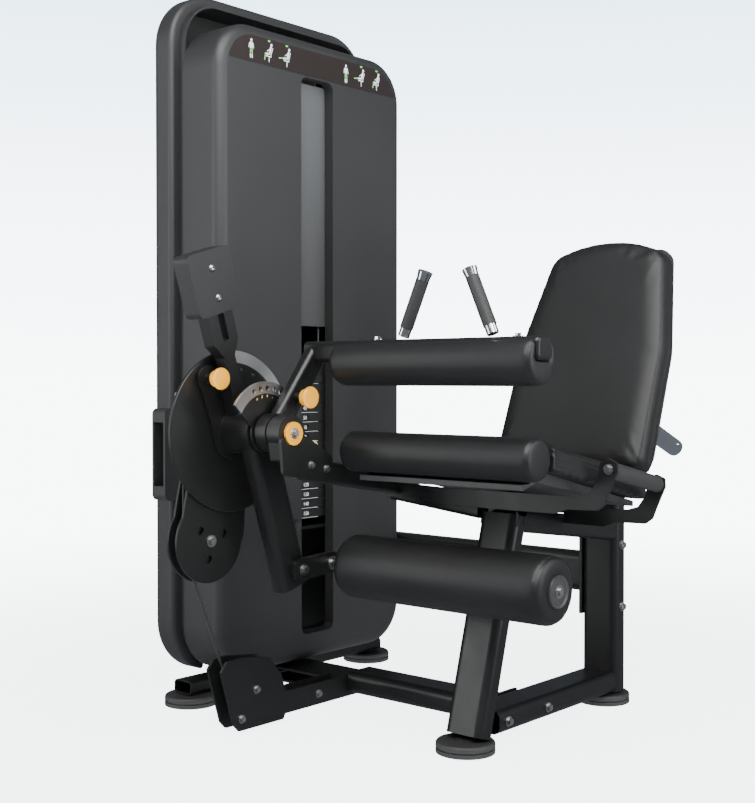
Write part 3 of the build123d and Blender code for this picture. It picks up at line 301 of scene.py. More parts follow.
# %% Vinyl
def vinyl():
    paint = Paint("upholstery_vinyl")
    sway = paint.node("TexNoise", values={"Vector": paint.place, "Scale": 190.0}, output="Color")
    settings = {"operation": "MULTIPLY_ADD"}
    values = {0: sway, 1: (0.0022, 0.0022, 0.0022), 2: paint.place}
    shifted = paint.node("VectorMath", settings, values)
    valley = paint.ramp(paint.cells(430.0, "DISTANCE_TO_EDGE", shifted), 0.0, 0.22)
    rub = paint.noise(9.0, 3.0)
    colour = paint.blend(rub, grey(0.0036), grey(0.0056, -0.03))
    rough = 0.44 - 0.07 * valley + 0.10 * rub
    normal = paint.bump(valley, 0.22, 0.00035)
    return paint.finish(Base_Color=colour, Roughness=rough, Normal=normal, Specular_IOR_Level=0.4)


# %% [markdown]
# ## Knob plastic
# Every part that the user pulls or turns is moulded in amber plastic, so that it can be found at
# a glance. The colour is in the plastic and isn't painted on, so it shows faint flow marks. The
# cap on the knee axis has a steel bolt in its middle, which is masked by its radius.


# %% Amber plastic
def amber_plastic(name="amber_plastic", bolt=None):
    """Amber plastic; bolt is the (y, z, radius) of a steel bolt head in the middle of it."""
    paint = Paint(name)
    flow = paint.noise(60.0, 3.0)
    colour = paint.blend(flow, (0.50, 0.215, 0.002, 1), (0.60, 0.265, 0.004, 1))
    normal = paint.bump(paint.noise(900.0), 0.06, 0.0002)
    rough = 0.34 + 0.12 * flow
    steel = 0.0
    if bolt:
        away = (paint.axis("Y") - bolt[0]) ** 2 + (paint.axis("Z") - bolt[1]) ** 2
        steel = paint.maths("LESS_THAN", away, bolt[2] ** 2)
        colour = paint.blend(steel, colour, grey(0.55))
    return paint.finish(Base_Color=colour, Roughness=rough, Normal=normal, Metallic=steel,
                        Coat_Weight=0.12)


# %% [markdown]
# ## Bare and plated metal
# Bolts are zinc plated, which is bright but slightly cloudy. The back rest's slide is hard
# chromed and only shows faint wipe marks.


# %% Metals
def zinc_plate():
    paint = Paint("zinc_plate")
    cloud = paint.noise(160.0, 3.0)
    colour = paint.blend(cloud, grey(0.42), grey(0.62, 0.02))
    normal = paint.bump(paint.noise(1200.0), 0.08, 0.0002)
    return paint.finish(Base_Color=colour, Metallic=1.0, Roughness=0.24 + 0.18 * cloud, Normal=normal)


def hard_chrome():
    paint = Paint("hard_chrome")
    wipe = paint.noise(34.0, 4.0)
    colour = paint.blend(wipe, grey(0.66), grey(0.78, -0.02))
    return paint.finish(Base_Color=colour, Metallic=1.0, Roughness=0.07 + 0.16 * wipe)


# %% [markdown]
# ## Rubber, nylon, board and cable
# Feet, stops and grips are matte rubber, which dust makes greyer. Pulleys are black nylon. The
# pads' backing boards are a grained moulding. The cable is steel in a smooth black coat, and the
# strands still show through it as a fine twist.


# %% Dark plastics and rubber
def dark(name, level, rough, scale, strength, dust=0.0):
    paint = Paint(name)
    grain = paint.noise(scale, 3.0)
    patch = paint.noise(18.0, 4.0)
    colour = paint.blend(patch, grey(level), grey(level + 0.008 + dust, 0.02))
    normal = paint.bump(grain, strength, 0.0004)
    return paint.finish(Base_Color=colour, Roughness=rough + 0.12 * patch, Normal=normal)


def grip_rubber():
    paint = Paint("grip_rubber")
    knurl = paint.cells(620.0)
    patch = paint.noise(40.0, 3.0)
    normal = paint.bump(knurl, 0.35, 0.0005)
    colour = paint.blend(patch, grey(0.009), grey(0.015))
    return paint.finish(Base_Color=colour, Roughness=0.52 + 0.1 * patch, Normal=normal)


def coated_cable():
    paint = Paint("coated_cable")
    values = {"Vector": paint.place, "Scale": 260.0, "Distortion": 0.5}
    twist = paint.node("TexWave", {"bands_direction": "DIAGONAL"}, values)
    normal = paint.bump(twist, 0.25, 0.0004)
    return paint.finish(Base_Color=grey(0.012), Roughness=0.36 + 0.08 * twist, Normal=normal)


# %% [markdown]
# ## Placard film and slot window
# The placard is a printed film with a warm black ground. The window behind the upper slot is a
# tinted sheet: it is paler than the dark space round it, and its gloss makes it read as a bright
# strip from the front. Its colour grows paler towards its top, which is painted light.


# %% Film and window
def placard_film():
    paint = Paint("placard_film")
    speck = paint.noise(700.0)
    colour = paint.blend(speck, (0.0085, 0.0055, 0.0050, 1), (0.012, 0.008, 0.007, 1))
    return paint.finish(Base_Color=colour, Roughness=0.30 + 0.05 * speck, Coat_Weight=0.25)


def tinted_window():
    paint = Paint("tinted_window")
    # Painted light: the window's colour grows paler towards its top.
    height = paint.ramp(paint.axis("Z"), 0.85, 1.5)
    haze = paint.noise(12.0, 3.0)
    colour = paint.blend(height, grey(0.035), grey(0.060, -0.02))
    return paint.finish(Base_Color=colour, Roughness=0.16 + 0.1 * haze, Coat_Weight=0.3)


def printed(name, colour):
    """Ink on a label: flat colour broken by a fine dot screen."""
    paint = Paint(name)
    dots = paint.cells(1500.0)
    deep = tuple(0.85 * part for part in colour[:3]) + (1.0,)
    ink = paint.blend(dots, deep, colour)
    return paint.finish(Base_Color=ink, Roughness=0.42 + 0.1 * dots)


# %% [markdown]
# ## One finish for each slot
# The record names a material slot for every CAD node. A dictionary from slot to finish keeps the
# choice in one place, and only the node's own material slot is filled: its mesh stays as it is.

# %% Finishes on the CAD nodes
finishes = {
    "shell": shell_plastic(),
    "placard": placard_film(),
    "window": tinted_window(),
    "frame_paint": powder_coat(),
    "chrome": hard_chrome(),
    "plates": powder_coat("stack_paint", 0.008, 0.42),
    "steel": zinc_plate(),
    "amber": amber_plastic(),
    "rubber": dark("rubber", 0.012, 0.55, 800.0, 0.15, 0.006),
    "nylon": dark("nylon", 0.014, 0.38, 1100.0, 0.08),
    "cable": coated_cable(),
    "upholstery": vinyl(),
    "board": dark("board_plastic", 0.011, 0.46, 900.0, 0.2),
}
BOLT_RADIUS = 0.0115
special = {
    "pivot_cap": amber_plastic("pivot_cap", (pivot.y, pivot.z, BOLT_RADIUS)),
    "sector_plate": powder_coat("sector_finish", bare_or_highlight=sector_band),
    "pivot_bracket": powder_coat("bracket_finish", bare_or_highlight=bracket_bolts),
    "shin_link": powder_coat("link_finish", bare_or_highlight=link_bolt),
    "handle_brackets": powder_coat("handle_finish", bare_or_highlight=grip_bolts),
    # The disc's mask paints a highlight on its rim as bright steel.
    "cam": powder_coat("disc_paint_and_highlight", bare_or_highlight=disc_painted_highlight),
    "grip_sleeves": grip_rubber(),
    "side_grips": grip_rubber(),
}


def give_finish(piece, material):
    if piece.material_slots:
        for holder in piece.material_slots:
            holder.material = material
    else:
        piece.data.materials.append(material)


for part in frame["record"]["subparts"]:
    name = part["node"]
    give_finish(nodes[name], special.get(name) or finishes[part["material_slot"]])
print("finishes", len(bpy.data.materials), "on", len(nodes), "nodes")

# %% [markdown]
# ## Working like a person at the keyboard
# An operator acts on everything that is selected. These helpers deselect all first, then pick one
# object, or only the faces or edges that pass a test on their place or direction, which is how a
# person would click them.


# %% Selecting and leaving edit mode
def only(*pieces):
    bpy.ops.object.select_all(action="DESELECT")
    for piece in pieces:
        piece.select_set(True)
    bpy.context.view_layer.objects.active = pieces[0]


def pick_faces(piece, test):
    """Edit mode, with the faces selected for which test(centre, normal) is true."""
    only(piece)
    bpy.ops.object.mode_set(mode="EDIT")
    bpy.ops.mesh.select_mode(type="FACE")
    bpy.ops.mesh.select_all(action="DESELECT")
    mesh = bmesh.from_edit_mesh(piece.data)
    for face in mesh.faces:
        face.select_set(bool(test(face.calc_center_median(), face.normal)))
    bmesh.update_edit_mesh(piece.data)


def pick_edges(piece, test):
    """Edit mode, with the edges selected for which test(middle, direction) is true."""
    only(piece)
    bpy.ops.object.mode_set(mode="EDIT")
    bpy.ops.mesh.select_mode(type="EDGE")
    bpy.ops.mesh.select_all(action="DESELECT")
    mesh = bmesh.from_edit_mesh(piece.data)
    for edge in mesh.edges:
        start, end = (vertex.co for vertex in edge.verts)
        edge.select_set(bool(test((start + end) / 2, (end - start).normalized())))
    bmesh.update_edit_mesh(piece.data)


def leave():
    bpy.ops.object.mode_set(mode="OBJECT")


def cut_across(piece, place, normal):
    """Cuts new edges round a piece, in a plane."""
    only(piece)
    bpy.ops.object.mode_set(mode="EDIT")
    bpy.ops.mesh.select_all(action="SELECT")
    bpy.ops.mesh.bisect(plane_co=place, plane_no=normal)
    leave()


def apply_place(piece):
    """Puts an object's place, turn and size into its mesh."""
    only(piece)
    bpy.ops.object.transform_apply(location=True, rotation=True, scale=True)


def block(place, size, turn=(0, 0, 0)):
    """A cuboid of a size at a place. Its size is still the object's scale."""
    bpy.ops.mesh.primitive_cube_add(size=1, location=place, rotation=turn, scale=size)
    return bpy.context.view_layer.objects.active


def settle(piece, name, material):
    """Puts the place into the mesh, names the piece and gives it its finish."""
    apply_place(piece)
    piece.name = name
    piece.data.name = name
    piece.data.materials.clear()
    piece.data.materials.append(material)
    return piece


def use(piece, kind, **settings):
    """Adds a modifier and applies it."""
    only(piece)
    modifier = piece.modifiers.new(kind.lower(), kind)
    for name, value in settings.items():
        setattr(modifier, name, value)
    bpy.ops.object.modifier_apply(modifier=modifier.name)


def smooth(piece, degrees=40):
    only(piece)
    bpy.ops.object.shade_smooth_by_angle(angle=math.radians(degrees))


print("editing helpers ready")

# %% [markdown]
# ## Filling a pad
# A real pad is foam pressed under a tight cover, so its faces crown and its corners pull in. The
# Cloth simulation does that: the cover is remeshed into even squares, then pressed outwards from
# inside with no gravity. The underside is screwed to a board, so those points are pinned. A cap
# on the movement keeps the pad at its real size, and a last subdivision smooths the squares.

# %% Swelling a cover
PRESSURE = 4.0
FRAMES = 20


def swell(piece, cell, cap, held):
    """Remeshes a cover, presses it outwards and stops each point at cap metres."""
    use(piece, "REMESH", mode="VOXEL", voxel_size=cell)
    rest = [vertex.co.copy() for vertex in piece.data.vertices]
    pins = piece.vertex_groups.new(name="held")
    pins.add([i for i, place in enumerate(rest) if held(place)], 1.0, "REPLACE")
    only(piece)
    cloth = piece.modifiers.new("cover", "CLOTH")
    cloth.settings.quality = 4
    cloth.settings.mass = 0.3
    cloth.settings.use_pressure = True
    cloth.settings.uniform_pressure_force = PRESSURE
    cloth.settings.effector_weights.gravity = 0.0
    cloth.settings.vertex_group_mass = "held"
    cloth.point_cache.frame_start = 1
    cloth.point_cache.frame_end = FRAMES
    for step in range(1, FRAMES + 1):
        bpy.context.scene.frame_set(step)
    bpy.ops.object.modifier_apply(modifier=cloth.name)
    bpy.context.scene.frame_set(1)
    for vertex, start in zip(piece.data.vertices, rest):
        move = vertex.co - start
        if move.length > cap:
            vertex.co = start + move * (cap / move.length)
    piece.vertex_groups.clear()
    use(piece, "SMOOTH", factor=0.5, iterations=3)
    use(piece, "SUBSURF", levels=1, render_levels=1)
    smooth(piece, 60)
    print(piece.name, "cover has", len(piece.data.polygons), "faces")


def sew(piece, path, wide, deep):
    """Pulls the cover in along a seam, where the thread holds it down."""
    tree = kdtree.KDTree(len(path))
    for i, point in enumerate(path):
        tree.insert(point, i)
    tree.balance()
    for vertex in piece.data.vertices:
        distance = tree.find(vertex.co)[2]
        if distance < wide:
            vertex.co -= vertex.normal * deep * (1 - (distance / wide) ** 2) ** 2
    piece.data.update()


def onto(piece, points):
    """Moves points to the nearest place on a piece's skin."""
    skin = BVHTree.FromPolygons([v.co for v in piece.data.vertices],
                                [p.vertices for p in piece.data.polygons])
    return [skin.find_nearest(point)[0] for point in points]


def dense(points, closed=True, gap=0.0012):
    """The same line with a point at every gap."""
    ends = points[1:] + points[:1] if closed else points[1:]
    made = []
    for start, end in zip(points, ends):
        count = max(1, round((end - start).length / gap))
        made += [start.lerp(end, i / count) for i in range(count)]
    return made


def cord_tube(name, points, radius, material, closed=True):
    """A thin sewn cord along points, as a mesh."""
    line = bpy.data.curves.new(name, "CURVE")
    line.dimensions = "3D"
    line.bevel_depth = radius
    line.bevel_resolution = 2
    line.use_fill_caps = not closed
    spline = line.splines.new("POLY")
    spline.points.add(len(points) - 1)
    for target, point in zip(spline.points, points):
        target.co = (*point, 1.0)
    spline.use_cyclic_u = closed
    piece = bpy.data.objects.new(name, line)
    bpy.context.scene.collection.objects.link(piece)
    only(piece)
    bpy.ops.object.convert(target="MESH")
    return settle(bpy.context.view_layer.objects.active, name, material)


def done(piece, body, slot, *replaced):
    """Attaches a piece to the body that carries it and hides the CAD nodes that it stands for. The slot argument
    is not used.
    """
    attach(piece, body)
    if replaced:
        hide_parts(*replaced)
    return piece


# %% [markdown]
# ## The shin roller
# The roller is a sleeve of foam in a tight cover, closed at each end by a sewn disc round a
# plastic hub. It starts as a cylinder along X, a little smaller than the real roller. Its end rims
# are bevelled to the radius of the real cover. Then the cover is filled, but not under the hubs,
# and the end seams are pulled in.


# %% Rolls: a shape shared by three pads
def cylinder_x(radius, low, high, centre, sides=96):
    """A cylinder along X between two X values, about a (y, z) centre."""
    place = ((low + high) / 2, centre[0], centre[1])
    turn = (0, math.radians(90), 0)
    bpy.ops.mesh.primitive_cylinder_add(vertices=sides, radius=radius, depth=high - low,
                                        location=place, rotation=turn)
    piece = bpy.context.view_layer.objects.active
    apply_place(piece)
    return piece


def round_ends(piece, size, segments=5):
    """Bevels the two end rims of a cylinder along X."""
    pick_faces(piece, lambda centre, normal: abs(normal.x) > 0.9)
    bpy.ops.mesh.region_to_loop()
    bpy.ops.mesh.bevel(offset=size, segments=segments, profile=0.5, affect="EDGES")
    leave()


def ring_path(x, centre, radius, count=240, start=0.0, stop=360.0):
    """Points round the X axis; degrees from +Y towards +Z."""
    angles = [math.radians(start + (stop - start) * i / count) for i in range(count)]
    return [Vector((x, centre[0] + radius * math.cos(a), centre[1] + radius * math.sin(a)))
            for a in angles]


SHRINK = 0.003
low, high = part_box("shin_roller")
roller_y, roller_z = (low.y + high.y) / 2, (low.z + high.z) / 2
roller_radius = (high.z - low.z) / 2
roller_low, roller_high = low.x, high.x
roller = cylinder_x(roller_radius - SHRINK, low.x + SHRINK, high.x - SHRINK, (roller_y, roller_z))
round_ends(roller, 0.017)
settle(roller, "shin_roller_cover", finishes["upholstery"])
HUB = 0.030


def near_hub(place):
    return math.hypot(place.y - roller_y, place.z - roller_z) < HUB


swell(roller, 0.006, 0.005, near_hub)
for x in (roller_low + 0.012, roller_high - 0.012):
    seam = ring_path(x, (roller_y, roller_z), roller_radius - 0.004)
    sew(roller, onto(roller, seam), 0.0045, 0.0016)
done(roller, "roller", "upholstery", "shin_roller")

# %% [markdown]
# ## Hub rings of the roller
# A moulded ring closes the cover at each end and keeps the foam off the axle. A cylinder's end
# face is inset twice and pushed in, which leaves a lip, a sunk face and a raised boss.


# %% Hub rings
def hub_ring(name, x, outward):
    """A moulded ring at a roller end; outward is 1 or -1 along X."""
    inner = x - outward * 0.004
    outer = inner + outward * 0.007
    piece = cylinder_x(HUB + 0.002, min(inner, outer), max(inner, outer), (roller_y, roller_z), 64)
    pick_faces(piece, lambda centre, normal: normal.x * outward > 0.9)
    bpy.ops.mesh.inset(thickness=0.005)
    bpy.ops.transform.translate(value=(-outward * 0.003, 0, 0))
    bpy.ops.mesh.inset(thickness=0.009)
    bpy.ops.transform.translate(value=(outward * 0.002, 0, 0))
    leave()
    use(piece, "BEVEL", width=0.0008, segments=2, limit_method="ANGLE")
    settle(piece, name, finishes["nylon"])
    smooth(piece, 35)
    return done(piece, "roller", "nylon")


hub_ring("roller_hub_free_side", roller_high, 1)
hub_ring("roller_hub_tower_side", roller_low, -1)
print("roller ready, radius", round(roller_radius, 4))

# %% [markdown]
# ## The roll at the seat's front
# The front of the seat is a firm roll that the back of the knee rests on. It is the same shape as
# the roller, with flatter ends: its cover ends in a sewn disc whose seam stands a little inside
# the rim.

# %% Seat roll
low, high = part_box("bolster")
roll_y, roll_z = (low.y + high.y) / 2, (low.z + high.z) / 2
roll_radius = (high.z - low.z) / 2
roll = cylinder_x(roll_radius - SHRINK, low.x + SHRINK, high.x - SHRINK, (roll_y, roll_z))
round_ends(roll, 0.009)
settle(roll, "seat_roll_cover", finishes["upholstery"])
swell(roll, 0.005, 0.005, lambda place: place.z < roll_z - roll_radius * 0.8)
for x in (low.x + 0.007, high.x - 0.007):
    sew(roll, onto(roll, ring_path(x, (roll_y, roll_z), roll_radius - 0.002)), 0.004, 0.0014)
done(roll, "frame", "upholstery", "bolster")

# %% [markdown]
# ## The thigh pad
# The pad above the knees hangs under the steel bar, and the bar lies in a groove along its top.
# The groove is cut with a Boolean modifier before the cover is filled, so that the cover bulges
# round it. The points along the bar are pinned.

# %% Thigh pad
low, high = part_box("thigh_pad")
pad_low_x, pad_high_x = low.x, high.x
pad_y = (low.y + high.y) / 2
pad_radius = (high.y - low.y) / 2
pad_z = low.z + pad_radius
BAR_HALF = 0.0265
BAR_BOTTOM = 0.8015
pad = cylinder_x(pad_radius - SHRINK, low.x + SHRINK, high.x - SHRINK, (pad_y, pad_z))
round_ends(pad, 0.013)
groove = block(((low.x + high.x) / 2, pad_y, BAR_BOTTOM + 0.05), (0.6, 2 * BAR_HALF, 0.1))
use(pad, "BOOLEAN", object=groove, operation="DIFFERENCE", solver="EXACT")
bpy.data.objects.remove(groove)
settle(pad, "thigh_pad_cover", finishes["upholstery"])


def by_bar(place):
    return abs(place.y - pad_y) < BAR_HALF + 0.004 and place.z > BAR_BOTTOM - 0.004


swell(pad, 0.005, 0.0045, by_bar)
for x in (pad_low_x + 0.009, pad_high_x - 0.009):
    seam = ring_path(x, (pad_y, pad_z), pad_radius - 0.003, 200, 150.0, 390.0)
    sew(pad, onto(pad, seam), 0.004, 0.0014)
done(pad, "thigh", "upholstery", "thigh_pad")

# %% [markdown]
# ## The seat cushion
# The cushion slopes down to the back rest. It starts as a cube of its size, whose front face is
# moved up and whose back face is moved down by half the drop. Its long edges are bevelled, the
# cover is filled, and a seam runs round the side just under the top.

# %% Seat cushion
low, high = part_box("seat_cushion")
size = high - low
SEAT_THICK = 0.056
drop = size.z - SEAT_THICK
seat = block((low + high) / 2, (size.x - 2 * SHRINK, size.y - SHRINK, SEAT_THICK - SHRINK))
apply_place(seat)
middle_y = (low.y + high.y) / 2
for side, shift in ((-1, drop / 2), (1, -drop / 2)):
    pick_faces(seat, lambda centre, normal: normal.y * side > 0.9)
    bpy.ops.transform.translate(value=(0, 0, shift))
    leave()


def seat_middle(y):
    """Height of the cushion's middle layer at y."""
    return (low.z + high.z) / 2 - (y - middle_y) * drop / size.y


pick_edges(seat, lambda middle, way: abs(way.z) < 0.5 and middle.z > seat_middle(middle.y))
bpy.ops.mesh.bevel(offset=0.014, segments=4, profile=0.55, affect="EDGES")
leave()
settle(seat, "seat_cushion_cover", finishes["upholstery"])
swell(seat, 0.006, 0.007, lambda place: place.z < seat_middle(place.y) - SEAT_THICK * 0.3)
rim = []
for x, y in ((low.x, low.y), (high.x, low.y), (high.x, high.y), (low.x, high.y)):
    rim.append(Vector((x, y, seat_middle(y) + SEAT_THICK * 0.22)))
sew(seat, onto(seat, dense(rim)), 0.0045, 0.0015)
done(seat, "frame", "upholstery", "seat_cushion")

# %% [markdown]
# ## The back rest
# The back pad is a tall trapezoid with an arched top and a wide bevel round its front, like a
# picture frame. It is built flat, as a cube that is cut across at several heights and widths, so
# that it can be narrowed above its shoulder line and its top can be arched. The corners and the
# front rim are bevelled, and only then is it leaned back.

# %% Back pad
BACK_LEAN = math.radians(21.0)
BACK_THICK = 0.060
BACK_TALL = 0.573
SHOULDER = 0.300
HALF_FOOT, HALF_SHOULDER, HALF_TOP = 0.198, 0.195, 0.152
ARCH = 0.034
BOARD_SIDE = -0.042
back_foot = Vector(((low.x + high.x) / 2, 0.114, 0.570))
back = block((0, BACK_TALL / 2, -BACK_THICK / 2),
             (2 * HALF_FOOT, BACK_TALL - SHRINK, BACK_THICK - SHRINK))
apply_place(back)
for level in (0.05, 0.15, SHOULDER, 0.39, 0.48, 0.53):
    cut_across(back, (0, level, 0), (0, 1, 0))
for x in (-0.1, -0.05, 0.0, 0.05, 0.1):
    cut_across(back, (x, 0, 0), (1, 0, 0))
for vertex in back.data.vertices:
    across, y = vertex.co.x / HALF_FOOT, vertex.co.y
    rise = (y - SHOULDER) / (BACK_TALL - SHOULDER)
    if y <= SHOULDER:
        half = HALF_FOOT + (HALF_SHOULDER - HALF_FOOT) * y / SHOULDER
    else:
        half = HALF_SHOULDER + (HALF_TOP - HALF_SHOULDER) * rise
        vertex.co.y = y - ARCH * across**2 * rise
    vertex.co.x = across * half
pick_edges(back, lambda middle, way: abs(way.z) > 0.9 and abs(middle.x) > 0.13 and
           (middle.y < 0.01 or middle.y > BACK_TALL - 0.06))
bpy.ops.mesh.bevel(offset=0.030, segments=6, profile=0.5, affect="EDGES")
leave()
pick_faces(back, lambda centre, normal: normal.z > 0.9)
bpy.ops.mesh.region_to_loop()
bpy.ops.mesh.bevel(offset=0.022, segments=2, profile=0.62, affect="EDGES")
leave()
stand = Matrix.Translation(back_foot) @ Matrix.Rotation(math.radians(90) - BACK_LEAN, 4, "X")
back.matrix_world = stand
settle(back, "back_rest_cover", finishes["upholstery"])
face_out = Vector((0, -math.cos(BACK_LEAN), math.sin(BACK_LEAN)))


def at_board(place):
    return (place - back_foot).dot(face_out) < BOARD_SIDE


swell(back, 0.006, 0.0028, at_board)
done(back, "backrest", "upholstery", "backrest_pad")

# %% [markdown]
# ## The lower cable
# The cable leaves its anchor on the cam, touches the carriage pulley and runs down to the pulley
# near the floor. Its lower end stays with the frame and its upper end turns with the cam. Here it
# is made as one tube in its resting place. The straight run touches both pulleys on their front
# side, which fixes the angle of the two touching points.

# %% Lower cable
CABLE_X = -0.192
CABLE_RADIUS = 0.003
CARRIAGE_RADIUS = 0.062
FLOOR_RADIUS = 0.050
ANCHOR_TOP = 0.716
carriage = Vector(joints["carriage_pulley_spin"]["pos_m"]).yz
floor_wheel = Vector(joints["floor_pulley_spin"]["pos_m"]).yz
apart = floor_wheel - carriage
facing = math.degrees(math.atan2(apart.y, apart.x))
spread = math.degrees(math.acos((CARRIAGE_RADIUS - FLOOR_RADIUS) / apart.length))
touch = facing - spread + 360.0
path = [Vector((CABLE_X, carriage.x - CARRIAGE_RADIUS, ANCHOR_TOP))]
path += ring_path(CABLE_X, carriage, CARRIAGE_RADIUS, 8, 180.0, touch)
leaves = ring_path(CABLE_X, carriage, CARRIAGE_RADIUS, 1, touch, touch)[0]
meets = ring_path(CABLE_X, floor_wheel, FLOOR_RADIUS, 1, touch, touch)[0]
path += [leaves.lerp(meets, i / 40) for i in range(41)]
cable = cord_tube("lower_cable_bent", path, CABLE_RADIUS, finishes["cable"], closed=False)
smooth(cable, 50)
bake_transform(cable)
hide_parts("lower_cable")
print("cable touches at", round(touch, 1), "degrees")

# %% [markdown]
# ## The upright cable
# The cable between the top pulley and the weights gets shorter as the weights rise, because the
# rest of it has gone over the pulley. Here it is one straight tube at its resting length, carried
# by the frame.

# %% Upright cable
low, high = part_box("stack_cable")
line_x, line_y = (low.x + high.x) / 2, (low.y + high.y) / 2
ends = [Vector((line_x, line_y, high.z)), Vector((line_x, line_y, low.z))]
upright = cord_tube("upright_cable", dense(ends, False, 0.05) + ends[1:], CABLE_RADIUS,
                    finishes["cable"], closed=False)
smooth(upright, 50)
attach(upright, "frame")
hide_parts("stack_cable")
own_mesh(upright)
print("upright cable", round(high.z - low.z, 3), "m")

# %% [markdown]
# ## Pull knobs
# The amber knobs are mushrooms: a thick head with a soft rim, and a skirt that slides over the
# steel barrel when the pin goes in. A turned shape is drawn once as half a section and spun round
# its axis. The steel pin is a second turned shape, so that each keeps its own finish.


# %% Turned pieces
def turned(name, section, start, way, material, steps=48):
    """Spins a section of (along, radius) points round an axis that starts at a point."""
    mesh = bpy.data.meshes.new(name)
    points = [(radius, 0.0, along) for along, radius in section]
    mesh.from_pydata(points, [(i, i + 1) for i in range(len(points) - 1)], [])
    piece = bpy.data.objects.new(name, mesh)
    bpy.context.scene.collection.objects.link(piece)
    only(piece)
    bpy.ops.object.mode_set(mode="EDIT")
    bpy.ops.mesh.select_all(action="SELECT")
    bpy.ops.mesh.spin(steps=steps, angle=math.tau, center=(0, 0, 0), axis=(0, 0, 1))
    bpy.ops.mesh.select_all(action="SELECT")
    bpy.ops.mesh.remove_doubles(threshold=0.00002)
    bpy.ops.mesh.normals_make_consistent(inside=False)
    leave()
    turn = Vector((0, 0, 1)).rotation_difference(Vector(way)).to_matrix().to_4x4()
    piece.matrix_world = Matrix.Translation(start) @ turn
    settle(piece, name, material)
    smooth(piece, 40)
    return piece


STANDS_OUT = 0.008
IN_SKIRT = 0.0164
SKIRT = 0.0178


def knob(name, node, body, way):
    """Mushroom knob and its pin, along way, in the space of a CAD pin and a little further out."""
    low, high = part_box(node)
    centre = (low + high) / 2
    reach = (high - low).x / 2
    tip = Vector((centre.x - way * reach, centre.y, centre.z))
    length = 2 * reach + STANDS_OUT
    head = (high.z - low.z) / 2
    section = [(length - 0.0088, 0), (length - 0.0088, IN_SKIRT), (length - 0.0205, IN_SKIRT),
               (length - 0.0205, SKIRT - 0.0002), (length - 0.0104, SKIRT),
               (length - 0.0098, head - 0.0035),
               (length - 0.0090, head - 0.0012), (length - 0.0066, head - 0.0002),
               (length - 0.0030, head - 0.0002), (length - 0.0012, head - 0.0012),
               (length - 0.0002, head - 0.0035), (length, head - 0.006), (length, 0)]
    cap = turned(name + "_head", section, tip, (way, 0, 0), finishes["amber"])
    pin = [(0, 0), (0, 0.0042), (0.0008, 0.005), (length - 0.0085, 0.005), (length - 0.0085, 0)]
    rod = turned(name + "_pin", pin, tip, (way, 0, 0), finishes["steel"], 32)
    done(cap, body, "amber", node)
    done(rod, body, "steel")


knob("lever_knob", "lever_knob", "lever_pin", 1)
knob("thigh_knob", "thigh_knob", "thigh_pin", 1)
knob("back_knob", "back_pin", "back_lock", -1)
print("knobs made")

# %% [markdown]
# ## Weight pin
# The weight pin has a pale moulded head, so that it shows against the dark stack. It is turned in
# the same way, with a slim collar behind the head.

# %% Weight pin
low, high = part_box("selector_pin")
pin_tip = Vector((low.x, (low.y + high.y) / 2, (low.z + high.z) / 2))
length = high.x - low.x
head = (high.z - low.z) / 2
section = [(length - 0.024, 0), (length - 0.024, 0.008), (length - 0.017, 0.0085),
           (length - 0.014, head - 0.002), (length - 0.011, head), (length - 0.004, head),
           (length - 0.001, head - 0.003), (length, head - 0.007), (length, 0)]
ivory = printed("ivory_plastic", (0.62, 0.50, 0.24, 1))
done(turned("weight_pin_head", section, pin_tip, (1, 0, 0), ivory), "weight_pin", "amber",
     "selector_pin")
rod = [(0, 0), (0, 0.004), (0.001, 0.005), (length - 0.02, 0.005), (length - 0.02, 0)]
done(turned("weight_pin_rod", rod, pin_tip, (1, 0, 0), finishes["steel"], 32), "weight_pin", "steel")

# %% [markdown]
# ## Socket screws
# Button-head screws hold the counterweight to its fork. The head is a low dome turned from an
# arc. Its hexagon socket is cut with a six-sided cylinder and a Boolean.


# %% Screws
def socket_screw(name, place, way, body, radius=0.008, tall=0.0045):
    arc = [(tall * math.sin(math.radians(a)), radius * math.cos(math.radians(a)))
           for a in range(0, 91, 15)]
    piece = turned(name, [(0, 0)] + arc[:-1] + [(tall, 0)], Vector(place), way, finishes["steel"], 32)
    turn = Vector((0, 0, 1)).rotation_difference(Vector(way)).to_euler()
    middle = Vector(place) + Vector(way) * tall
    bpy.ops.mesh.primitive_cylinder_add(vertices=6, radius=radius * 0.42, depth=tall * 1.3,
                                        location=middle, rotation=turn)
    socket = bpy.context.view_layer.objects.active
    use(piece, "BOOLEAN", object=socket, operation="DIFFERENCE", solver="EXACT")
    bpy.data.objects.remove(socket)
    smooth(piece, 35)
    return done(piece, body, "steel")


weight_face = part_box("counterweight")[1].x
LEVER_LEAN = -17.0
lean = math.radians(LEVER_LEAN)
for number, reach in enumerate((0.290, 0.352)):
    place = (weight_face, pivot.y + reach * math.sin(lean), pivot.z + reach * math.cos(lean))
    socket_screw(f"counterweight_screw_{number + 1}", place, (1, 0, 0), "lever")
print("screws made")

# %% [markdown]
# ## Labels on the weight plates
# Each plate has its number on the front edge, pale on black, and the number can be read through
# the slot. Text is turned into a mesh before its place is applied. The numbers grow downwards,
# because the pin lifts its own plate and all above it.

# %% Weight numbers
ink = printed("pale_ink", (0.62, 0.63, 0.64, 1))


def lettering(text, tall, place, material, turn=(90, 0, 90)):
    """A flat number whose left end starts at a place; by default it faces +X."""
    bpy.ops.object.text_add(location=place, rotation=[math.radians(a) for a in turn])
    piece = bpy.context.view_layer.objects.active
    piece.data.body = text
    piece.data.size = tall
    piece.data.extrude = 0.00012
    piece.data.resolution_u = 3
    only(piece)
    bpy.ops.object.convert(target="MESH")
    return settle(bpy.context.view_layer.objects.active, "number", material)


def join(name, pieces):
    only(*pieces)
    bpy.ops.object.join()
    joined = bpy.context.view_layer.objects.active
    joined.name = name
    joined.data.name = name
    return joined


PITCH = 0.024


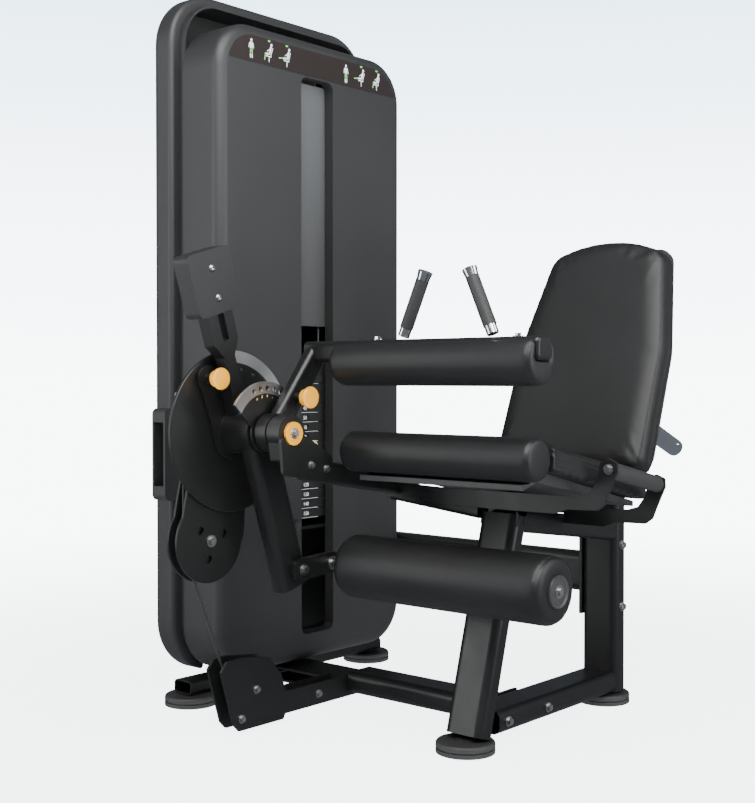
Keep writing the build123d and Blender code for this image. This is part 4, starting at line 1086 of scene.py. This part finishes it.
def plate_numbers(name, node, count, first, body):
    """Numbers from first times ten, downwards, each with a line under it."""
    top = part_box(node)[1]
    face = top.x + 0.0002
    parts = []
    for i in range(count):
        level = top.z - 0.0005 - PITCH * (i + 0.5)
        parts.append(lettering(str((first + i) * 10), 0.013, (face, -0.060, level - 0.0045), ink))
        line = block((face, -0.045, level - 0.0110), (0.0002, 0.075, 0.0007))
        parts.append(settle(line, "line", ink))
    return done(join(name, parts), body, "plates")


plate_numbers("lifted_numbers", "lifted_plates", 8, 1, "stack")
plate_numbers("resting_numbers", "resting_plates", 7, 9, "frame")

# %% [markdown]
# ## Numbers on the sector
# The thigh adjuster's holes are numbered on the plate below them, which helps a user to find the
# same place again. Each number stands upright to the hole's radius, so it is turned with it.

# %% Sector numbers
sector_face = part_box("sector_plate")[1].x + 0.0001
gold_ink = printed("gold_ink", (0.62, 0.44, 0.14, 1))
NUMBER_RING = 0.076
HOLE_STEP = 12.0
first_hole = math.degrees(math.atan2(0.130, 0.168))
parts = []
for i in range(6):
    angle = math.radians(first_hole - HOLE_STEP * i)
    outward = Vector((0, math.sin(angle), math.cos(angle)))
    across = Vector((0, math.cos(angle), -math.sin(angle)))
    centre = Vector((sector_face, pivot.y, pivot.z)) + outward * NUMBER_RING
    start = centre - across * 0.0022 - outward * 0.003
    turn = (90.0 - math.degrees(angle), 0, 90)
    parts.append(lettering(str(i + 1), 0.009, start, gold_ink, turn))
done(join("sector_numbers", parts), "frame", "steel")

# %% [markdown]
# ## Figures on the placard
# The placard shows how to use the machine with plain figures: a standing body with its thighs
# marked, and two seated bodies, one before and one after the lift. A limb is a rounded bar
# between two points, so a figure is a head and a list of limbs.

# %% Figures
low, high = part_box("placard")
film = high.x
green_ink = printed("green_ink", (0.10, 0.42, 0.08, 1))
film_middle = (low.z + high.z) / 2


def limb(start, end, wide, material):
    """A flat bar with rounded ends between two (y, z) points on the film."""
    way = Vector(end) - Vector(start)
    middle = (Vector(start) + Vector(end)) / 2
    turn = (math.atan2(way.y, way.x), 0, 0)
    piece = block((film + 0.0001, middle.x, middle.y), (0.0002, way.length + wide, wide), turn)
    apply_place(piece)
    pick_edges(piece, lambda middle, way: abs(way.x) > 0.9)
    bpy.ops.mesh.bevel(offset=wide * 0.45, segments=3, affect="EDGES")
    leave()
    return settle(piece, "limb", material)


def head_dot(centre, radius, material):
    bpy.ops.mesh.primitive_cylinder_add(vertices=20, radius=radius, depth=0.0002,
                                        location=(film + 0.0001, centre[0], centre[1]),
                                        rotation=(0, math.radians(90), 0))
    return settle(bpy.context.view_layer.objects.active, "dot", material)


def standing_figure(y, z):
    """A body with its two thighs marked in green."""
    limbs = [(0.0022, 0.013, 0.0022, 0.001, 0.0034, ink),
             (0.0052, 0.012, 0.0075, 0.001, 0.0018, ink),
             (0.0024, -0.003, 0.0028, -0.010, 0.0034, green_ink),
             (0.0028, -0.014, 0.0028, -0.022, 0.0024, ink)]
    parts = [head_dot((y, z + 0.019), 0.0030, ink)]
    for side in (-1, 1):
        for out, top, foot_out, foot, wide, colour in limbs:
            parts.append(limb((y + side * out, z + top), (y + side * foot_out, z + foot), wide, colour))
    return parts


def seated_figure(y, z, shin):
    """A body on a machine; shin is the lower leg's angle, in degrees below level."""
    a = math.radians(shin)
    knee = (y - 0.014, z - 0.004)
    foot = (knee[0] - 0.014 * math.cos(a), knee[1] - 0.014 * math.sin(a))
    return [head_dot((y + 0.006, z + 0.019), 0.0030, ink),
            limb((y + 0.004, z + 0.013), (y, z - 0.002), 0.0050, ink),
            limb((y, z - 0.003), knee, 0.0038, ink),
            limb(knee, foot, 0.0028, green_ink),
            limb((y + 0.001, z + 0.009), (y - 0.008, z + 0.003), 0.0018, ink),
            limb((y + 0.010, z + 0.012), (y + 0.004, z - 0.006), 0.0016, ink),
            limb((y + 0.005, z - 0.009), (y - 0.012, z - 0.009), 0.0020, ink),
            limb((y - 0.002, z - 0.010), (y - 0.002, z - 0.022), 0.0018, ink)]


FIGURE_STEP = 0.060
MARK_LEVEL = film_middle + 0.027
tower_middle = (low.y + high.y) / 2
figures = []
for side, shins in ((-1, (80, 8)), (1, (8, 80))):
    start = tower_middle + side * 0.165
    figures += standing_figure(start - FIGURE_STEP, film_middle)
    figures += seated_figure(start, film_middle, shins[0])
    figures += seated_figure(start + FIGURE_STEP, film_middle, shins[1])
    for y in (start, start + FIGURE_STEP):
        figures.append(limb((y - 0.004, MARK_LEVEL), (y, MARK_LEVEL), 0.004, green_ink))
done(join("placard_figures", figures), "frame", "placard")
print("labels ready")

# %% [markdown]
# ## Studio
# The floor is one pale disc that fades into the backdrop's colour far away, so that no horizon
# shows. The backdrop is a soft gradient by height, and it lights the object much less than it
# shows, so that black stays black. Three large lights give long soft highlights on the tubes: one
# high on the camera's side, one low on the left, one on the right.

# %% Floor and world
HORIZON = (0.93, 0.97, 1.0, 1.0)
SKY = (0.30, 0.42, 0.53, 1.0)
SHOWN = 9.0
FILL = 0.22
bpy.ops.mesh.primitive_circle_add(vertices=96, radius=14.0, fill_type="NGON",
                                  location=(0, 0, -0.0005))
floor = settle(bpy.context.view_layer.objects.active, "floor", finishes["rubber"])
paint = Paint("floor_paint")
radius = paint.node("VectorMath", {"operation": "LENGTH"}, {0: paint.place}, "Value")
fade = 0.55 + 0.45 * paint.ramp(radius, 0.7, 4.0)
glow = paint.node("Emission", values={"Color": HORIZON, "Strength": SHOWN})
paint.finish(Base_Color=(0.86, 0.89, 0.91, 1), Roughness=0.7)
lit = Wire(paint, paint.shader.outputs[0])
mixed = paint.node("MixShader", values={0: fade, 1: lit, 2: glow})
paint.feed(paint.tree.nodes["Material Output"].inputs[0], mixed)
floor.data.materials[0] = paint.material
floor.visible_glossy = False


class Sky(Paint):
    """A world, made with the same node method as a material."""

    def __init__(self, name):
        self.world = bpy.data.worlds.new(name)
        self.world.use_nodes = True
        self.tree = self.world.node_tree


sky = Sky("studio")
where = sky.node("TexCoord", output="Generated")
rise = sky.node("SeparateXYZ", values={0: where}, output="Z")
gradient = sky.node("ValToRGB", values={0: rise})
low_stop, high_stop = gradient.socket.node.color_ramp.elements
low_stop.color, low_stop.position = HORIZON, 0.0
high_stop.color, high_stop.position = SKY, 0.32
shown = sky.node("Background", values={"Color": gradient, "Strength": SHOWN})
softer = sky.node("Background", values={"Color": (0.80, 0.88, 1.0, 1.0), "Strength": FILL})
seen = sky.node("LightPath", output="Is Camera Ray")
either = sky.node("MixShader", values={0: seen, 1: softer, 2: shown})
sky.feed(sky.tree.nodes["World Output"].inputs[0], either)
bpy.context.scene.world = sky.world


# %% Lights
def soft_light(name, place, target, size, power):
    data = bpy.data.lights.new(name, "AREA")
    data.shape = "RECTANGLE"
    data.size, data.size_y = size
    data.energy = power
    lamp = bpy.data.objects.new(name, data)
    lamp.location = place
    way = Vector(target) - Vector(place)
    lamp.rotation_euler = way.to_track_quat("-Z", "Y").to_euler()
    bpy.context.scene.collection.objects.link(lamp)


soft_light("key_above", (1.2, -1.6, 3.0), (0.1, -0.1, 0.6), (3.0, 2.4), 210)
soft_light("left_wall", (-1.6, -2.6, 1.2), (-0.2, -0.2, 0.8), (0.8, 2.4), 34)
soft_light("right_wall", (2.6, 0.6, 1.6), (0.2, 0.0, 0.8), (0.9, 2.2), 55)
print("studio ready")
